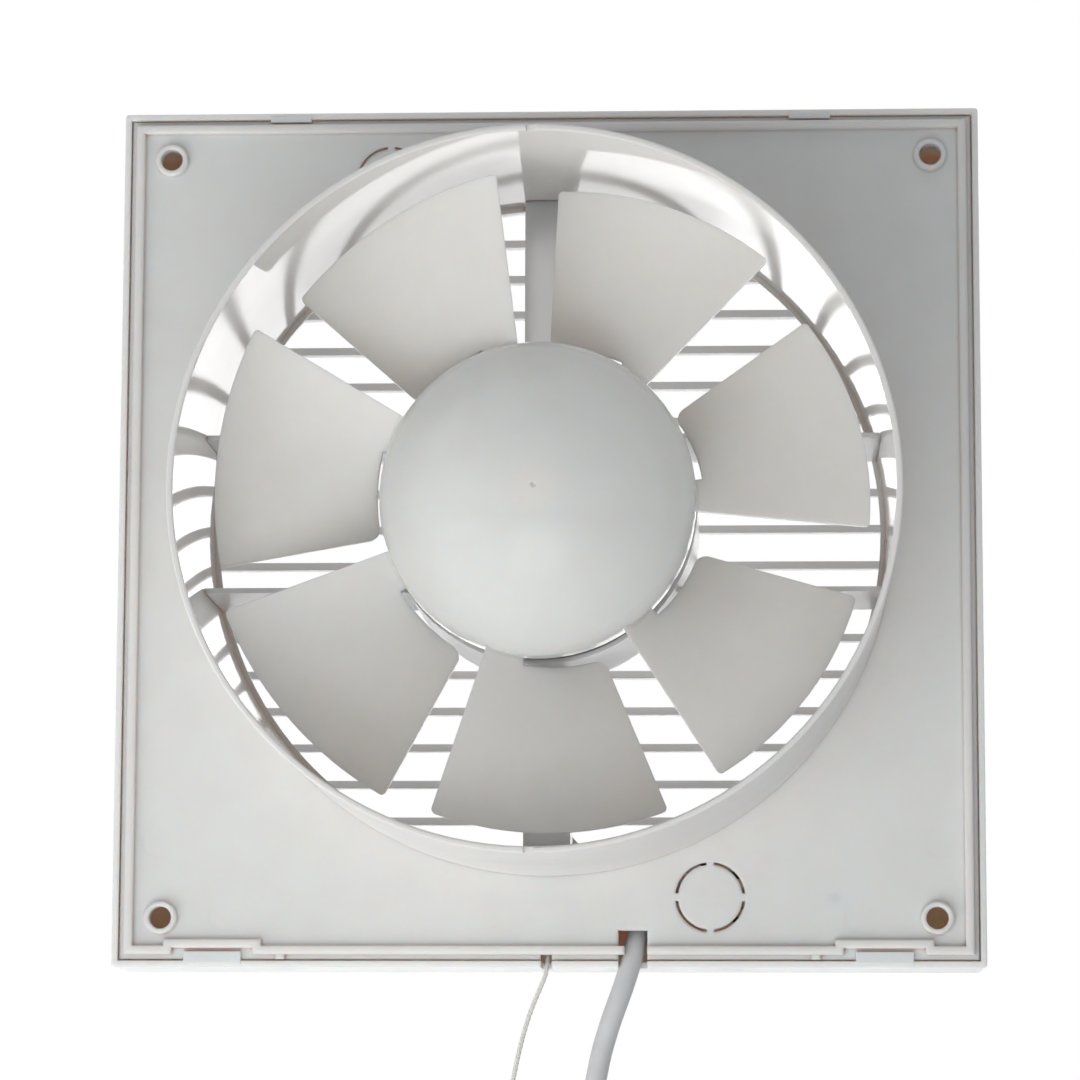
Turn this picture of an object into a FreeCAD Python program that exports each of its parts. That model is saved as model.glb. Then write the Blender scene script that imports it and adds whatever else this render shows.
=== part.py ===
import FreeCAD, Part

import math
import os

from FreeCAD import Vector

# Wall exhaust fan for a 200 mm duct, in millimetres.
# Origin on the fan axis in the wall plane. +Y points into the wall and the duct, -Y into the room, +Z up.

# Front cover
COVER_WIDTH = 250.0
COVER_WALL = 1.8
COVER_FRONT = 2.5
COVER_DEPTH = 34.5
COVER_SETBACK = 1.5
COVER_CORNER = 1.0
COVER_FRONT_ROUND = 0.9
COVER_RIM_ROUND = 0.4
GRILLE_MARGIN = 23.0
COLLAR_WALL = 1.5
COLLAR_DEPTH = 6.0
SLAT_PITCH = 10.8
SLAT_THICKNESS = 2.2
SLAT_DEPTH = 4.5
MULLION_WIDTH = 2.4
HOOK_INSET = 29.0
HOOK_WIDTH = 16.5
HOOK_REACH = 2.6
HOOK_THICKNESS = 1.2
CLIP_INSET = 49.0
CLIP_WIDTH = 12.0
CLIP_REACH = 0.9
SNAP_GAP = 0.1

# Wall plate
PLATE_FIT = 0.4
PLATE_THICKNESS = 2.2
LIP_HEIGHT = 2.5
LEDGE_WIDTH = 1.4
LIP_WALL = 2.4
EDGE_ROUND = 0.4
SCREW_INSET = 14.0
SCREW_HOLE_RADIUS = 3.2
BOSS_RADIUS = 4.65
POCKET_WIDTH = 23.3
POCKET_STEP = 1.8
LEDGE_RIB_INSET = 48.5
LEDGE_RIB_WIDTH = 2.6
LEDGE_RIB_HEIGHT = 1.0
KNOCKOUT_X = 46.5
KNOCKOUT_INSET = 20.0
KNOCKOUT_RADIUS = 9.6
KNOCKOUT_SLOT = 0.8
KNOCKOUT_BRIDGE = 2.2
CUTOUT_X = -24.4
CUTOUT_WIDTH = 8.3
CUTOUT_RISE = 10.5
LEAD_NOTCH_INSET = 1.8
THROAT_STEP = 1.4
THROAT_THICKNESS = 1.0
THROAT_GAP = 0.4
EJECTOR_RADIUS = 4.8
EJECTOR_DEPTH = 0.06
EJECTOR_SIDES = [(-1, 1), (-1, -1), (1, -1), (1, 1), (1, -1), (-1, -1)]
EJECTOR_INSETS = [(12.5, 35.0), (35.3, 14.3), (32.5, 15.0), (16.0, 32.0), (13.0, 36.0), (12.5, 36.0)]

# Duct spigot
SPIGOT_MARGIN = 26.0
SPIGOT_WALL = 1.8
SPIGOT_LENGTH = 90.0
SPIGOT_RIM_ROUND = 0.5
NOTCH_X = 1.0
NOTCH_WIDTH = 2.3
NOTCH_DEPTH = 1.2

# Motor holder
HOLDER_GAP = 0.15
HOLDER_FRONT = -2.7
CUP_RADIUS = 43.6
CUP_WALL = 1.2
CUP_FLOOR = 2.0
CUP_REAR = 46.0
RIB_REAR = 37.6
RIB_OFFSET = 21.7
RIB_THICKNESS = 1.4
STRUT_WIDTH = 13.5
STRUT_WALL = 1.4
STRUT_REAR = 4.0
TAB_THICKNESS = 2.0
TAB_OVERLAP = 11.2
TAB_LENGTH = 18.5
TAB_BOSS_RADIUS = 3.4
TAB_BOSS_HEIGHT = 4.0
TAB_SCREW_MARGIN = 2.0
TAB_SCREW_RADIUS = 1.4
TAB_SCREW_DEPTH = 5.0
WIRE_HOLE_WIDTH = 9.0
WIRE_HOLE_HEIGHT = 4.4
SHIELD_NOTCH = 15.2

# Screws
SCREW_CLEARANCE = 0.1
SCREW_HEAD_RADIUS = 2.7
SCREW_HEAD_HEIGHT = 1.9
SCREW_SLOT_WIDTH = 0.7
SCREW_SLOT_DEPTH = 0.8

# Motor
SHIELD_PLATE = 2.5
SHIELD_RIM = 7.0
SHIELD_LAND = 1.0
SHIELD_FIT = 0.2
SHIELD_HUB_RADIUS = 8.5
SHIELD_HUB_LENGTH = 5.7
STATOR_START = 10.0
STATOR_LENGTH = 16.0
STATOR_FIT = 8.4
YOKE_WIDTH = 6.0
POLE_WIDTH = 9.0
POLE_COUNT = 4
SHOE_WIDTH = 17.0
SHOE_DEPTH = 2.6
AIR_GAP = 0.4
WINDING_BUILD = 4.6
WINDING_ROUND = 3.7
WINDING_GAP = 0.3
WINDING_INSET = 0.6
ROTOR_RADIUS = 15.0
SHAFT_RADIUS = 3.0
SHAFT_FRONT = 0.6
SHAFT_INSET = 11.0
BUSH_RADIUS = 5.4
BUSH_FIT = 0.03
BUSH_LENGTH = 6.8
WASHER_RADIUS = 5.0
WASHER_THICKNESS = 0.8
MOTOR_SCREW_RADIUS = 1.5
SCREW_CIRCLE_INSET = 3.0

# Impeller
BLADE_COUNT = 7
TIP_GAP = 6.2
BLADE_SPAN = 41.2
BLADE_START = 92.9
BLADE_LEAD = 16.6
BLADE_DEPTH = 25.2
BLADE_CAMBER = 1.6
BLADE_THICKNESS = 1.9
BLADE_CORNER = 1.4
BLADE_ROOT_CORNER = 3.5
BLADE_ROOT_GAP = 1.9
BLADE_SINK = 1.0
BLADE_SECTIONS = 5
HUB_INSET = 0.1
HUB_GAP = 12.0
HUB_SIDE = 6.0
HUB_CROWN = 25.0
HUB_SHOULDER_ROUND = 10.0
HUB_WALL = 2.0
HUB_BOSS_RADIUS = 7.0
HUB_BOSS_LEAD = 17.0
HUB_SHAFT_FIT = 0.02
GATE_RADIUS = 0.7
GATE_DEPTH = 0.5
CLIP_RING_WALL = 1.0
CLIP_RING_WIDTH = 4.0
CLIP_RING_INSET = 1.0

# Terminal block
BLOCK_X = -88.0
BLOCK_WIDTH = 24.0
BLOCK_RISE = 11.0
BLOCK_HEIGHT = 17.0
BLOCK_DEPTH = 12.3
ENTRY_RISE = 14.5
ENTRY_PITCH = 4.0
ENTRY_COUNT = 4
ENTRY_Y = -11.0
ENTRY_DEPTH = 9.0
TERMINAL_SCREW_RADIUS = 1.3
TERMINAL_SCREW_INSET = 4.5
TERMINAL_SCREW_SINK = 0.6
BLOCK_SCREW_INSET = 6.0
BLOCK_SCREW_DEPTH = 1.4

# Cable clamp
LEAD_DIAMETER = 6.1
CLAMP_RISE = 24.7
CLAMP_HEIGHT = 5.6
CLAMP_WIDTH = 22.0
CLAMP_GRIP = 0.05
CLAMP_SPLIT = 1.4
CLAMP_BAR = 5.1
CLAMP_SCREW_OFFSET = 7.6
CLAMP_SCREW_RADIUS = 1.4
CLAMP_SCREW_DEPTH = 6.0

# Pull switch
CORD_DIAMETER = 1.4
SWITCH_WIDTH = 24.0
SWITCH_RISE = 20.0
SWITCH_HEIGHT = 15.0
SWITCH_DEPTH = 14.0
SWITCH_WALL = 1.6
SWITCH_CAVITY = 11.0
SWITCH_SCREW_OFFSET = 8.6
SWITCH_SCREW_RADIUS = 1.1
SWITCH_SCREW_RISE = 3.6
SWITCH_ENTRY_OFFSET = 8.0
SWITCH_ENTRY_DEPTH = 4.0
PLUNGER_HEAD_RADIUS = 4.6
PLUNGER_HEAD = 2.0
PLUNGER_STEM_RADIUS = 1.1
PLUNGER_TOP_GAP = 0.4
PLUNGER_CLEARANCE = 0.4
SPRING_RADIUS = 2.6
SPRING_WIRE = 0.5
SPRING_TURNS = 6
SPRING_END_GAP = 0.3
CORD_SLOT_WIDTH = 3.2
CORD_SLOT_PAST = 2.2
LEAD_SLOT_PAST = 1.2

# Wires and cords
WIRE_DIAMETER = 1.8
ENTRY_FIT = 0.15
ARC_SHARE = 0.45
CHANNEL_DROP = 0.6
SAME_PLACE = 0.01
STRAIGHT = 1e-7

# Coil of the lead, hung below the fan
COIL_RADIUS = 46.0
COIL_PITCH = 6.75
COIL_TURNS = 6
TIE_WIDTH = 6.0
TIE_THICKNESS = 0.8
TIE_GAP = 0.4

# Plug
TAIL_LENGTH = 18.8
RELIEF_LENGTH = 25.0
RELIEF_TOP_RADIUS = 4.2
RELIEF_FOOT_RADIUS = 5.2
PLUG_LENGTH = 30.0
PLUG_WIDTH = 26.0
PLUG_FACE_WIDTH = 35.3
PLUG_THICKNESS = 13.7
PLUG_ROUND = 3.0
PIN_RADIUS = 2.0
PIN_LENGTH = 19.0
PIN_SPACING = 18.6
PIN_ROOT = 4.0

# Knob of the pull cord
KNOB_NECK = 4.0
KNOB_NECK_RADIUS = 2.0
KNOB_LENGTH = 26.0
KNOB_TOP_RADIUS = 3.4
KNOB_RADIUS = 7.5
KNOB_ROUND = 2.0

# Cord routes, from the inside out, as heights above the cover's lower edge
# The starts of the motor wires lie in the motor and its channel, as heights above the axis
LEAD_ROUTE = [
    (-26.4, -13.5, 26.5),
    (-26.4, -13.5, 15.4),
    (-25.5, -9.4, 8.7),
    (-24.1, -5.2, 2.4),
    (-21.7, -3.2, -5.6),
    (-17.6, -3.2, -16.5),
    (-14.3, -3.2, -28.5),
    (-12.4, -3.2, -43.0),
    (-12.0, -3.2, -63.5),
    (-12.0, -3.2, -82.0),
]
PULL_ROUTE = [
    (0.3, -11.7, 6.0),
    (0.3, -11.7, -0.4),
    (2.4, -11.7, -5.4),
    (5.6, -11.7, -13.0),
    (8.4, -11.7, -23.0),
    (10.8, -11.7, -35.0),
    (12.6, -11.7, -50.0),
    (13.6, -11.7, -68.0),
    (14.0, -11.7, -88.0),
    (14.1, -11.7, -111.0),
    (14.1, -11.7, -133.0),
]
LIVE_START = [
    (2.2, 3.5, -18.5),
    (2.2, 3.5, -27.0),
    (2.2, 1.1, -35.0),
    (2.2, 0.2, -48.0),
]
LIVE_ROUTE = [
    (2.4, -4.4, 51.0),
    (2.9, -11.6, 44.5),
    (5.2, -14.6, 37.0),
    (7.6, -14.0, 29.0),
    (8.3, -11.7, 22.5),
    (8.3, -11.7, 16.0),
]
NEUTRAL_START = [
    (-2.2, 3.5, -18.5),
    (-2.2, 3.5, -27.0),
    (-2.2, 1.1, -35.0),
    (-2.2, 0.2, -48.0),
]
NEUTRAL_ROUTE = [
    (-2.4, -4.4, 51.0),
    (-3.2, -11.6, 44.5),
    (-5.0, -17.0, 38.0),
    (-10.5, -21.5, 33.5),
    (-20.0, -24.3, 31.5),
    (-34.0, -23.8, 27.0),
    (-46.0, -19.6, 21.6),
    (-55.0, -12.8, 18.0),
    (-61.0, -11.0, 17.5),
    (-67.0, -11.0, 17.5),
]
SWITCH_ROUTE = [
    (-7.7, -11.7, 16.0),
    (-7.7, -11.7, 22.8),
    (-10.2, -16.4, 26.6),
    (-16.8, -21.6, 27.1),
    (-28.0, -23.6, 24.4),
    (-40.0, -22.4, 19.4),
    (-51.0, -15.0, 14.6),
    (-59.0, -11.0, 13.5),
    (-67.0, -11.0, 13.5),
]
CORE_ROUTES = [
    [
        (-25.2, -13.5, 26.5),
        (-25.2, -13.5, 30.4),
        (-28.4, -13.4, 33.4),
        (-35.0, -13.2, 33.6),
        (-43.0, -12.6, 31.0),
        (-51.0, -11.6, 27.4),
        (-59.0, -11.0, 25.5),
        (-67.0, -11.0, 25.5),
    ],
    [
        (-27.6, -13.5, 26.5),
        (-27.6, -13.5, 28.8),
        (-30.4, -13.4, 30.6),
        (-36.0, -13.2, 30.0),
        (-43.0, -12.6, 27.0),
        (-51.0, -11.6, 23.4),
        (-59.0, -11.0, 21.5),
        (-67.0, -11.0, 21.5),
    ],
]

# Places worked out from the sizes above
cover_half = COVER_WIDTH / 2
cover_inner = cover_half - COVER_WALL
grille_radius = cover_half - GRILLE_MARGIN
hook_centre = cover_half - HOOK_INSET
clip_centre = cover_half - CLIP_INSET
ledge_rib_centre = cover_half - LEDGE_RIB_INSET
knockout_z = cover_half - KNOCKOUT_INSET
cutout_top = CUTOUT_RISE - cover_half
cover_rim = -COVER_SETBACK
cover_front = cover_rim - COVER_DEPTH
plate_half = cover_inner - PLATE_FIT
plate_rear = -LIP_HEIGHT
plate_front = plate_rear - PLATE_THICKNESS
lip_outer = plate_half - LEDGE_WIDTH
lip_inner = lip_outer - LIP_WALL
spigot_radius = cover_half - SPIGOT_MARGIN
duct_radius = spigot_radius - SPIGOT_WALL
tip_radius = duct_radius - TIP_GAP
holder_reach = duct_radius - HOLDER_GAP
cup_inner = CUP_RADIUS - CUP_WALL
cup_bed = HOLDER_FRONT + CUP_FLOOR
stator_end = STATOR_START + STATOR_LENGTH
stator_radius = cup_inner - STATOR_FIT
motor_screw_circle = stator_radius - SCREW_CIRCLE_INSET
shield_radius = cup_inner - SHIELD_FIT
hub_radius = CUP_RADIUS - HUB_INSET
hub_front = CUP_REAR + HUB_GAP
hub_shoulder = hub_front + HUB_SIDE
hub_apex = hub_shoulder + HUB_CROWN
hub_boss_front = hub_front - HUB_BOSS_LEAD
clip_ring_start = hub_boss_front + CLIP_RING_INSET
shaft_rear = hub_apex - SHAFT_INSET
blade_front = hub_front - BLADE_LEAD
blade_rear = blade_front + BLADE_DEPTH
tab_rear = plate_front - TAB_BOSS_HEIGHT
tab_front = tab_rear - TAB_THICKNESS
tab_start = duct_radius - TAB_OVERLAP
tab_screw_z = spigot_radius + TAB_SCREW_MARGIN
tab_end = tab_start + TAB_LENGTH
switch_top = SWITCH_RISE - cover_half
switch_bottom = switch_top - SWITCH_HEIGHT
switch_front = plate_front - SWITCH_DEPTH
cavity_top = switch_top - SWITCH_WALL
cavity_bottom = switch_bottom + SWITCH_WALL
plunger_top = cavity_top - PLUNGER_TOP_GAP
head_bottom = plunger_top - PLUNGER_HEAD
block_front = plate_front - BLOCK_DEPTH
block_right = BLOCK_X + BLOCK_WIDTH
block_bottom = BLOCK_RISE - cover_half
block_screw_x = BLOCK_X + BLOCK_SCREW_INSET
entry_top = block_bottom + ENTRY_RISE
clamp_top = CLAMP_RISE - cover_half
clamp_bottom = clamp_top - CLAMP_HEIGHT


def from_edge(route):
    """A route with its heights counted from the cover's lower edge."""
    return [(x, y, rise - cover_half) for x, y, rise in route]


lead_route = from_edge(LEAD_ROUTE)
pull_route = from_edge(PULL_ROUTE)
clamp_x, clamp_y, sheath_end = lead_route[0]
cord_x, cord_y, stem_end = pull_route[0]
knob_top = pull_route[-1][2] - KNOB_NECK
saddle_front = clamp_y + CLAMP_SPLIT / 2
bar_rear = clamp_y - CLAMP_SPLIT / 2
bar_front = bar_rear - CLAMP_BAR
hook_front = plate_rear + SNAP_GAP
coil_start = Vector(*lead_route[-1])
coil_centre = Vector(coil_start.x - COIL_RADIUS, coil_start.y, coil_start.z - LEAD_DIAMETER)
second_layer = coil_start.y - COIL_PITCH
plug_top = coil_centre.z - LEAD_DIAMETER - TAIL_LENGTH


def block(x, y, z):
    """A box from three pairs of limits."""
    (x0, x1), (y0, y1), (z0, z1) = sorted(x), sorted(y), sorted(z)
    return Part.makeBox(x1 - x0, y1 - y0, z1 - z0, Vector(x0, y0, z0))


def rod(radius, y0, y1, x=0.0, z=0.0):
    """A round bar along Y."""
    return Part.makeCylinder(radius, abs(y1 - y0), Vector(x, min(y0, y1), z), Vector(0, 1, 0))


def ring(outer, inner, y0, y1, x=0.0, z=0.0):
    """A round tube along Y."""
    return rod(outer, y0, y1, x, z).cut(rod(inner, y0, y1, x, z))


def fuse(shapes):
    """Several touching shapes as one solid."""
    return shapes[0].multiFuse(shapes[1:]).removeSplitter()


def square(half, y0, y1):
    """A square plate across Y, centred on the axis."""
    return block((-half, half), (y0, y1), (-half, half))


def turned(shape, degrees):
    """A copy turned about the fan axis, from +X towards +Z."""
    copy = shape.copy()
    copy.rotate(Vector(0, 0, 0), Vector(0, -1, 0), degrees)
    return copy


def screw(radius, seat, depth, x, z):
    """A slotted pan head screw driven along +Y from its seat."""
    head = rod(SCREW_HEAD_RADIUS, seat - SCREW_HEAD_HEIGHT, seat, x, z)
    slot = block(
        (x - SCREW_HEAD_RADIUS, x + SCREW_HEAD_RADIUS),
        (seat - SCREW_HEAD_HEIGHT, seat - SCREW_HEAD_HEIGHT + SCREW_SLOT_DEPTH),
        (z - SCREW_SLOT_WIDTH / 2, z + SCREW_SLOT_WIDTH / 2),
    )
    return fuse([head.cut(slot), rod(radius, seat, seat + depth, x, z)])


def on_plane(shape, y):
    """The edges of a shape that lie in one plane across Y."""
    return [e for e in shape.Edges if abs(e.BoundBox.YMin - y) < 1e-4 and abs(e.BoundBox.YMax - y) < 1e-4]


def arc_from(start, heading, end):
    """The arc that leaves start along heading and arrives at end."""
    chord = end - start
    along = Vector(chord).normalize()
    side = heading - along * heading.dot(along)
    if side.Length < STRAIGHT:
        return Part.LineSegment(start, end)
    bend = heading.getAngle(along)
    rise = chord.Length / 2 * math.tan(bend / 2)
    return Part.Arc(start, start + chord * 0.5 + side.normalize() * rise, end)


def biarc(start, heading, end, arrival):
    """Two arcs in line with each other from one point and heading to the next."""
    gap = end - start
    both = heading + arrival
    spread = 2 * (1 - heading.dot(arrival))
    lean = gap.dot(both)
    if spread < 1e-9:
        reach = gap.dot(gap) / (4 * gap.dot(arrival))
    else:
        reach = (math.sqrt(lean * lean + spread * gap.dot(gap)) - lean) / spread
    joint = (start + heading * reach + end - arrival * reach) * 0.5
    first = arc_from(start, heading, joint)
    turned_heading = (joint - start - heading * reach).normalize()
    return [first, arc_from(joint, turned_heading, end)]


def sweep(path, start, heading, radius):
    """A round tube along a path of lines and arcs."""
    section = Part.Wire([Part.makeCircle(radius, start, heading)])
    return Part.Wire([curve.toShape() for curve in path]).makePipeShell([section], True, False)


def tube(name, route, diameter):
    """A cord along a route: straight runs joined by the largest tangent arcs that the runs allow."""
    points = [Vector(*p) for p in route]
    path = []
    radii = []
    start = points[0]
    for before, corner, after in zip(points, points[1:], points[2:]):
        back = before - corner
        ahead = after - corner
        reach = ARC_SHARE * min(back.Length, ahead.Length)
        turn = math.pi - back.getAngle(ahead)
        radius = reach / math.tan(turn / 2)
        back.normalize()
        ahead.normalize()
        first = corner + back * reach
        last = corner + ahead * reach
        inward = (back + ahead).normalize() * (radius / math.cos(turn / 2) - radius)
        path.append(Part.LineSegment(start, first))
        path.append(Part.Arc(first, corner + inward, last))
        radii.append(round(radius, 1))
        start = last
    path.append(Part.LineSegment(start, points[-1]))
    solid = sweep(path, points[0], points[1] - points[0], diameter / 2)
    length = sum(curve.length() for curve in path)
    share = solid.Volume / (length * math.pi * diameter**2 / 4)
    print(f"{name}: length {length:.1f}, radii {radii}, volume share {share:.4f}")
    return solid


def wall_plate():
    """Flat base with lip, screw bosses, clip pockets, knockouts, cutouts and seats for the inner parts."""
    solids = [square(plate_half, plate_front, plate_rear)]
    solids.append(square(lip_outer, plate_rear, 0).cut(square(lip_inner, plate_rear, 0)))
    pitch = cover_half - SCREW_INSET
    corners = [(x, z) for x in (-pitch, pitch) for z in (-pitch, pitch)]
    solids += [rod(BOSS_RADIUS, plate_front, 0, x, z) for x, z in corners]
    for side in (-1, 1):
        x = side * hook_centre
        half = POCKET_WIDTH / 2 + LIP_WALL
        solids.append(block((x - half, x + half), (plate_rear, 0), (-lip_outer, POCKET_STEP - lip_inner)))
        rib = side * ledge_rib_centre
        solids.append(
            block(
                (rib - LEDGE_RIB_WIDTH / 2, rib + LEDGE_RIB_WIDTH / 2),
                (plate_rear, plate_rear + LEDGE_RIB_HEIGHT),
                (-plate_half, -lip_outer),
            )
        )
        solids.append(rod(TAB_BOSS_RADIUS, tab_rear, plate_front, 0, side * tab_screw_z))
    solids.append(
        block(
            (clamp_x - CLAMP_WIDTH / 2, clamp_x + CLAMP_WIDTH / 2),
            (saddle_front, plate_front),
            (clamp_bottom, clamp_top),
        )
    )
    plate = fuse(solids)
    holes = throat()
    holes += [rod(SCREW_HOLE_RADIUS, plate_front, 0, x, z) for x, z in corners]
    for side in (-1, 1):
        x = side * hook_centre
        half = POCKET_WIDTH / 2
        holes.append(block((x - half, x + half), (plate_rear, 0), (-lip_outer, POCKET_STEP - lip_outer)))
        holes.append(knockout(side * KNOCKOUT_X, side * knockout_z))
        holes.append(rod(TAB_SCREW_RADIUS, tab_rear, tab_rear + TAB_SCREW_DEPTH, 0, side * tab_screw_z))
        clamp_hole = (clamp_screw_x(side), clamp_middle())
        holes.append(rod(CLAMP_SCREW_RADIUS, saddle_front, saddle_front + CLAMP_SCREW_DEPTH, *clamp_hole))
        holes.append(switch_screw_hole(side, plate_front, plate_front + PLATE_THICKNESS / 2))
    holes.append(block_screw_hole(plate_front, plate_front + BLOCK_SCREW_DEPTH))
    holes.append(clamp_groove())
    right, left = (CUTOUT_X - CUTOUT_WIDTH / 2, CUTOUT_X + CUTOUT_WIDTH / 2)
    holes.append(block((right, left), (plate_front, plate_rear), (-plate_half, cutout_top)))
    notch = (right, left - LEAD_NOTCH_INSET)
    holes.append(block(notch, (plate_rear, 0), (-plate_half, -lip_inner)))
    cord_slot = (cord_x - CORD_SLOT_WIDTH / 2, cord_x + CORD_SLOT_WIDTH / 2)
    holes.append(block(cord_slot, (plate_front, plate_rear), (-plate_half, -lip_outer)))
    for (right, up), (x, z) in zip(EJECTOR_SIDES, EJECTOR_INSETS):
        at = (right * (cover_half - x), up * (cover_half - z))
        holes.append(rod(EJECTOR_RADIUS, plate_rear - EJECTOR_DEPTH, plate_rear, *at))
    plate = plate.cut(holes)
    return plate.makeFillet(EDGE_ROUND, on_plane(plate, 0))


def throat():
    """The air opening: as wide as the duct behind a thin step, which lets the holder's struts past."""
    step_rear = plate_front + THROAT_THICKNESS
    step = rod(duct_radius - THROAT_STEP, plate_front, step_rear)
    half = STRUT_WIDTH / 2 + THROAT_GAP
    passage = block((-half, half), (plate_front, step_rear), (-duct_radius, duct_radius))
    passage = passage.common(rod(duct_radius, plate_front, step_rear))
    return [rod(duct_radius, step_rear, plate_rear), step, passage]


def knockout(x, z):
    """A ring slot broken by four bridges, where a disc can be pushed out for a cable."""
    outer = KNOCKOUT_RADIUS + KNOCKOUT_SLOT / 2
    slot = ring(outer, KNOCKOUT_RADIUS - KNOCKOUT_SLOT / 2, plate_front, plate_rear, x, z)
    half = KNOCKOUT_BRIDGE / 2
    upright = block((x - half, x + half), (plate_front, plate_rear), (z - outer, z + outer))
    level = block((x - outer, x + outer), (plate_front, plate_rear), (z - half, z + half))
    return slot.cut([upright, level])


def clamp_screw_x(side):
    return clamp_x + side * CLAMP_SCREW_OFFSET


def clamp_middle():
    return clamp_top - CLAMP_HEIGHT / 2


def clamp_groove():
    """The round passage of the lead between saddle and clamp."""
    radius = LEAD_DIAMETER / 2 + CLAMP_GRIP
    return Part.makeCylinder(radius, CLAMP_HEIGHT, Vector(clamp_x, clamp_y, clamp_bottom), Vector(0, 0, 1))


def switch_screw_hole(side, y0, y1):
    x = cord_x + side * SWITCH_SCREW_OFFSET
    return rod(SWITCH_SCREW_RADIUS + SCREW_CLEARANCE, y0, y1, x, switch_bottom + SWITCH_SCREW_RISE)


def block_screw_hole(y0, y1):
    middle = block_bottom + BLOCK_HEIGHT / 2
    return rod(TERMINAL_SCREW_RADIUS + SCREW_CLEARANCE, y0, y1, block_screw_x, middle)


def duct_spigot():
    """Straight tube that the duct goes over, with two small notches in its rim."""
    pipe = ring(spigot_radius, duct_radius, plate_rear, SPIGOT_LENGTH)
    x = (NOTCH_X - NOTCH_WIDTH / 2, NOTCH_X + NOTCH_WIDTH / 2)
    y = (SPIGOT_LENGTH - NOTCH_DEPTH, SPIGOT_LENGTH)
    notches = [block(x, y, (side * (duct_radius - SPIGOT_WALL), side * spigot_radius)) for side in (-1, 1)]
    pipe = pipe.cut(notches)
    return pipe.makeFillet(SPIGOT_RIM_ROUND, on_plane(pipe, SPIGOT_LENGTH))


def motor_holder():
    """Motor cup carried by flat ribs and by two upright channels that end in screwed tabs."""
    cup = ring(CUP_RADIUS, cup_inner, HOLDER_FRONT, CUP_REAR)
    floor = rod(CUP_RADIUS, HOLDER_FRONT, cup_bed)
    bore = rod(holder_reach, HOLDER_FRONT, RIB_REAR)
    solids = [cup, floor]
    for side in (-1, 1):
        z = side * RIB_OFFSET
        level = (z - RIB_THICKNESS / 2, z + RIB_THICKNESS / 2)
        arms = block((-holder_reach, holder_reach), (HOLDER_FRONT, RIB_REAR), level)
        solids.append(arms.common(bore).cut(rod(CUP_RADIUS - CUP_WALL / 2, HOLDER_FRONT, RIB_REAR)))
        solids.append(strut(side, bore))
    holder = fuse(solids)
    half = WIRE_HOLE_WIDTH / 2
    depth = (cup_bed, cup_bed + WIRE_HOLE_HEIGHT)
    wire_hole = block((-half, half), depth, (-CUP_RADIUS, CUP_WALL - cup_inner))
    holes = [wire_hole]
    for x, z in motor_screw_places():
        holes.append(rod(MOTOR_SCREW_RADIUS + SCREW_CLEARANCE, HOLDER_FRONT, cup_bed, x, z))
    for side in (-1, 1):
        holes.append(rod(TAB_SCREW_RADIUS + SCREW_CLEARANCE, tab_front, tab_rear, 0, side * tab_screw_z))
    return holder.cut(holes)


def strut(side, bore):
    """One upright wire channel, open to the front, with its end tab on the wall plate's boss."""
    half = STRUT_WIDTH / 2
    start = side * (CUP_RADIUS - CUP_WALL / 2)
    body = block((-half, half), (HOLDER_FRONT, STRUT_REAR), (start, side * holder_reach))
    inner = half - STRUT_WALL
    depth = (HOLDER_FRONT, STRUT_REAR - STRUT_WALL)
    hollow = block((-inner, inner), depth, (side * CUP_RADIUS, side * holder_reach))
    channel = body.common(bore).cut(hollow)
    cheek_height = (tab_front, HOLDER_FRONT)
    foot = block((-half, half), cheek_height, (side * tab_start, side * holder_reach))
    gap = block((-inner, inner), (tab_rear, HOLDER_FRONT), (side * tab_start, side * holder_reach))
    foot = foot.common(rod(holder_reach, tab_front, HOLDER_FRONT)).cut(gap)
    tab = block((-half, half), (tab_front, tab_rear), (side * tab_start, side * tab_end))
    return fuse([channel, foot, tab])


def motor_screw_places():
    """Four places on the motor's screw circle, between the poles."""
    reach = motor_screw_circle * math.sqrt(0.5)
    return [(x, z) for x in (-reach, reach) for z in (-reach, reach)]


def front_cover():
    """Box-shaped cover with a round louvre, bottom hooks, top clips and slots for lead and cord."""
    shell = square(cover_half, cover_front, cover_rim)
    corners = [e for e in shell.Edges if e.BoundBox.YLength > COVER_DEPTH / 2]
    shell = shell.makeFillet(COVER_CORNER, corners)
    shell = shell.makeFillet(COVER_FRONT_ROUND, on_plane(shell, cover_front))
    shell = shell.cut(square(cover_inner, cover_front + COVER_FRONT, cover_rim))
    shell = shell.makeFillet(COVER_RIM_ROUND, on_plane(shell, cover_rim))
    back = cover_front + COVER_FRONT
    collar = ring(grille_radius + COLLAR_WALL, grille_radius, back, back + COLLAR_DEPTH)
    shell = shell.cut(rod(grille_radius, cover_front, back))
    cover = fuse([shell, collar, grille()] + cover_snaps())
    lead_slot = block(
        (CUTOUT_X - CUTOUT_WIDTH / 2, CUTOUT_X + CUTOUT_WIDTH / 2),
        (lead_slot_end(), cover_rim),
        (-cover_half, -cover_inner),
    )
    cord_slot = block(
        (cord_x - CORD_SLOT_WIDTH / 2, cord_x + CORD_SLOT_WIDTH / 2),
        (cord_y - CORD_SLOT_PAST, cover_rim),
        (-cover_half, -cover_inner),
    )
    return cover.cut([lead_slot, cord_slot])


def lead_slot_end():
    """The front end of the cover's slot, past the lead where it crosses the wall."""
    crossing = Vector(*lead_route[3])
    return crossing.y - LEAD_DIAMETER / 2 - LEAD_SLOT_PAST


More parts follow.
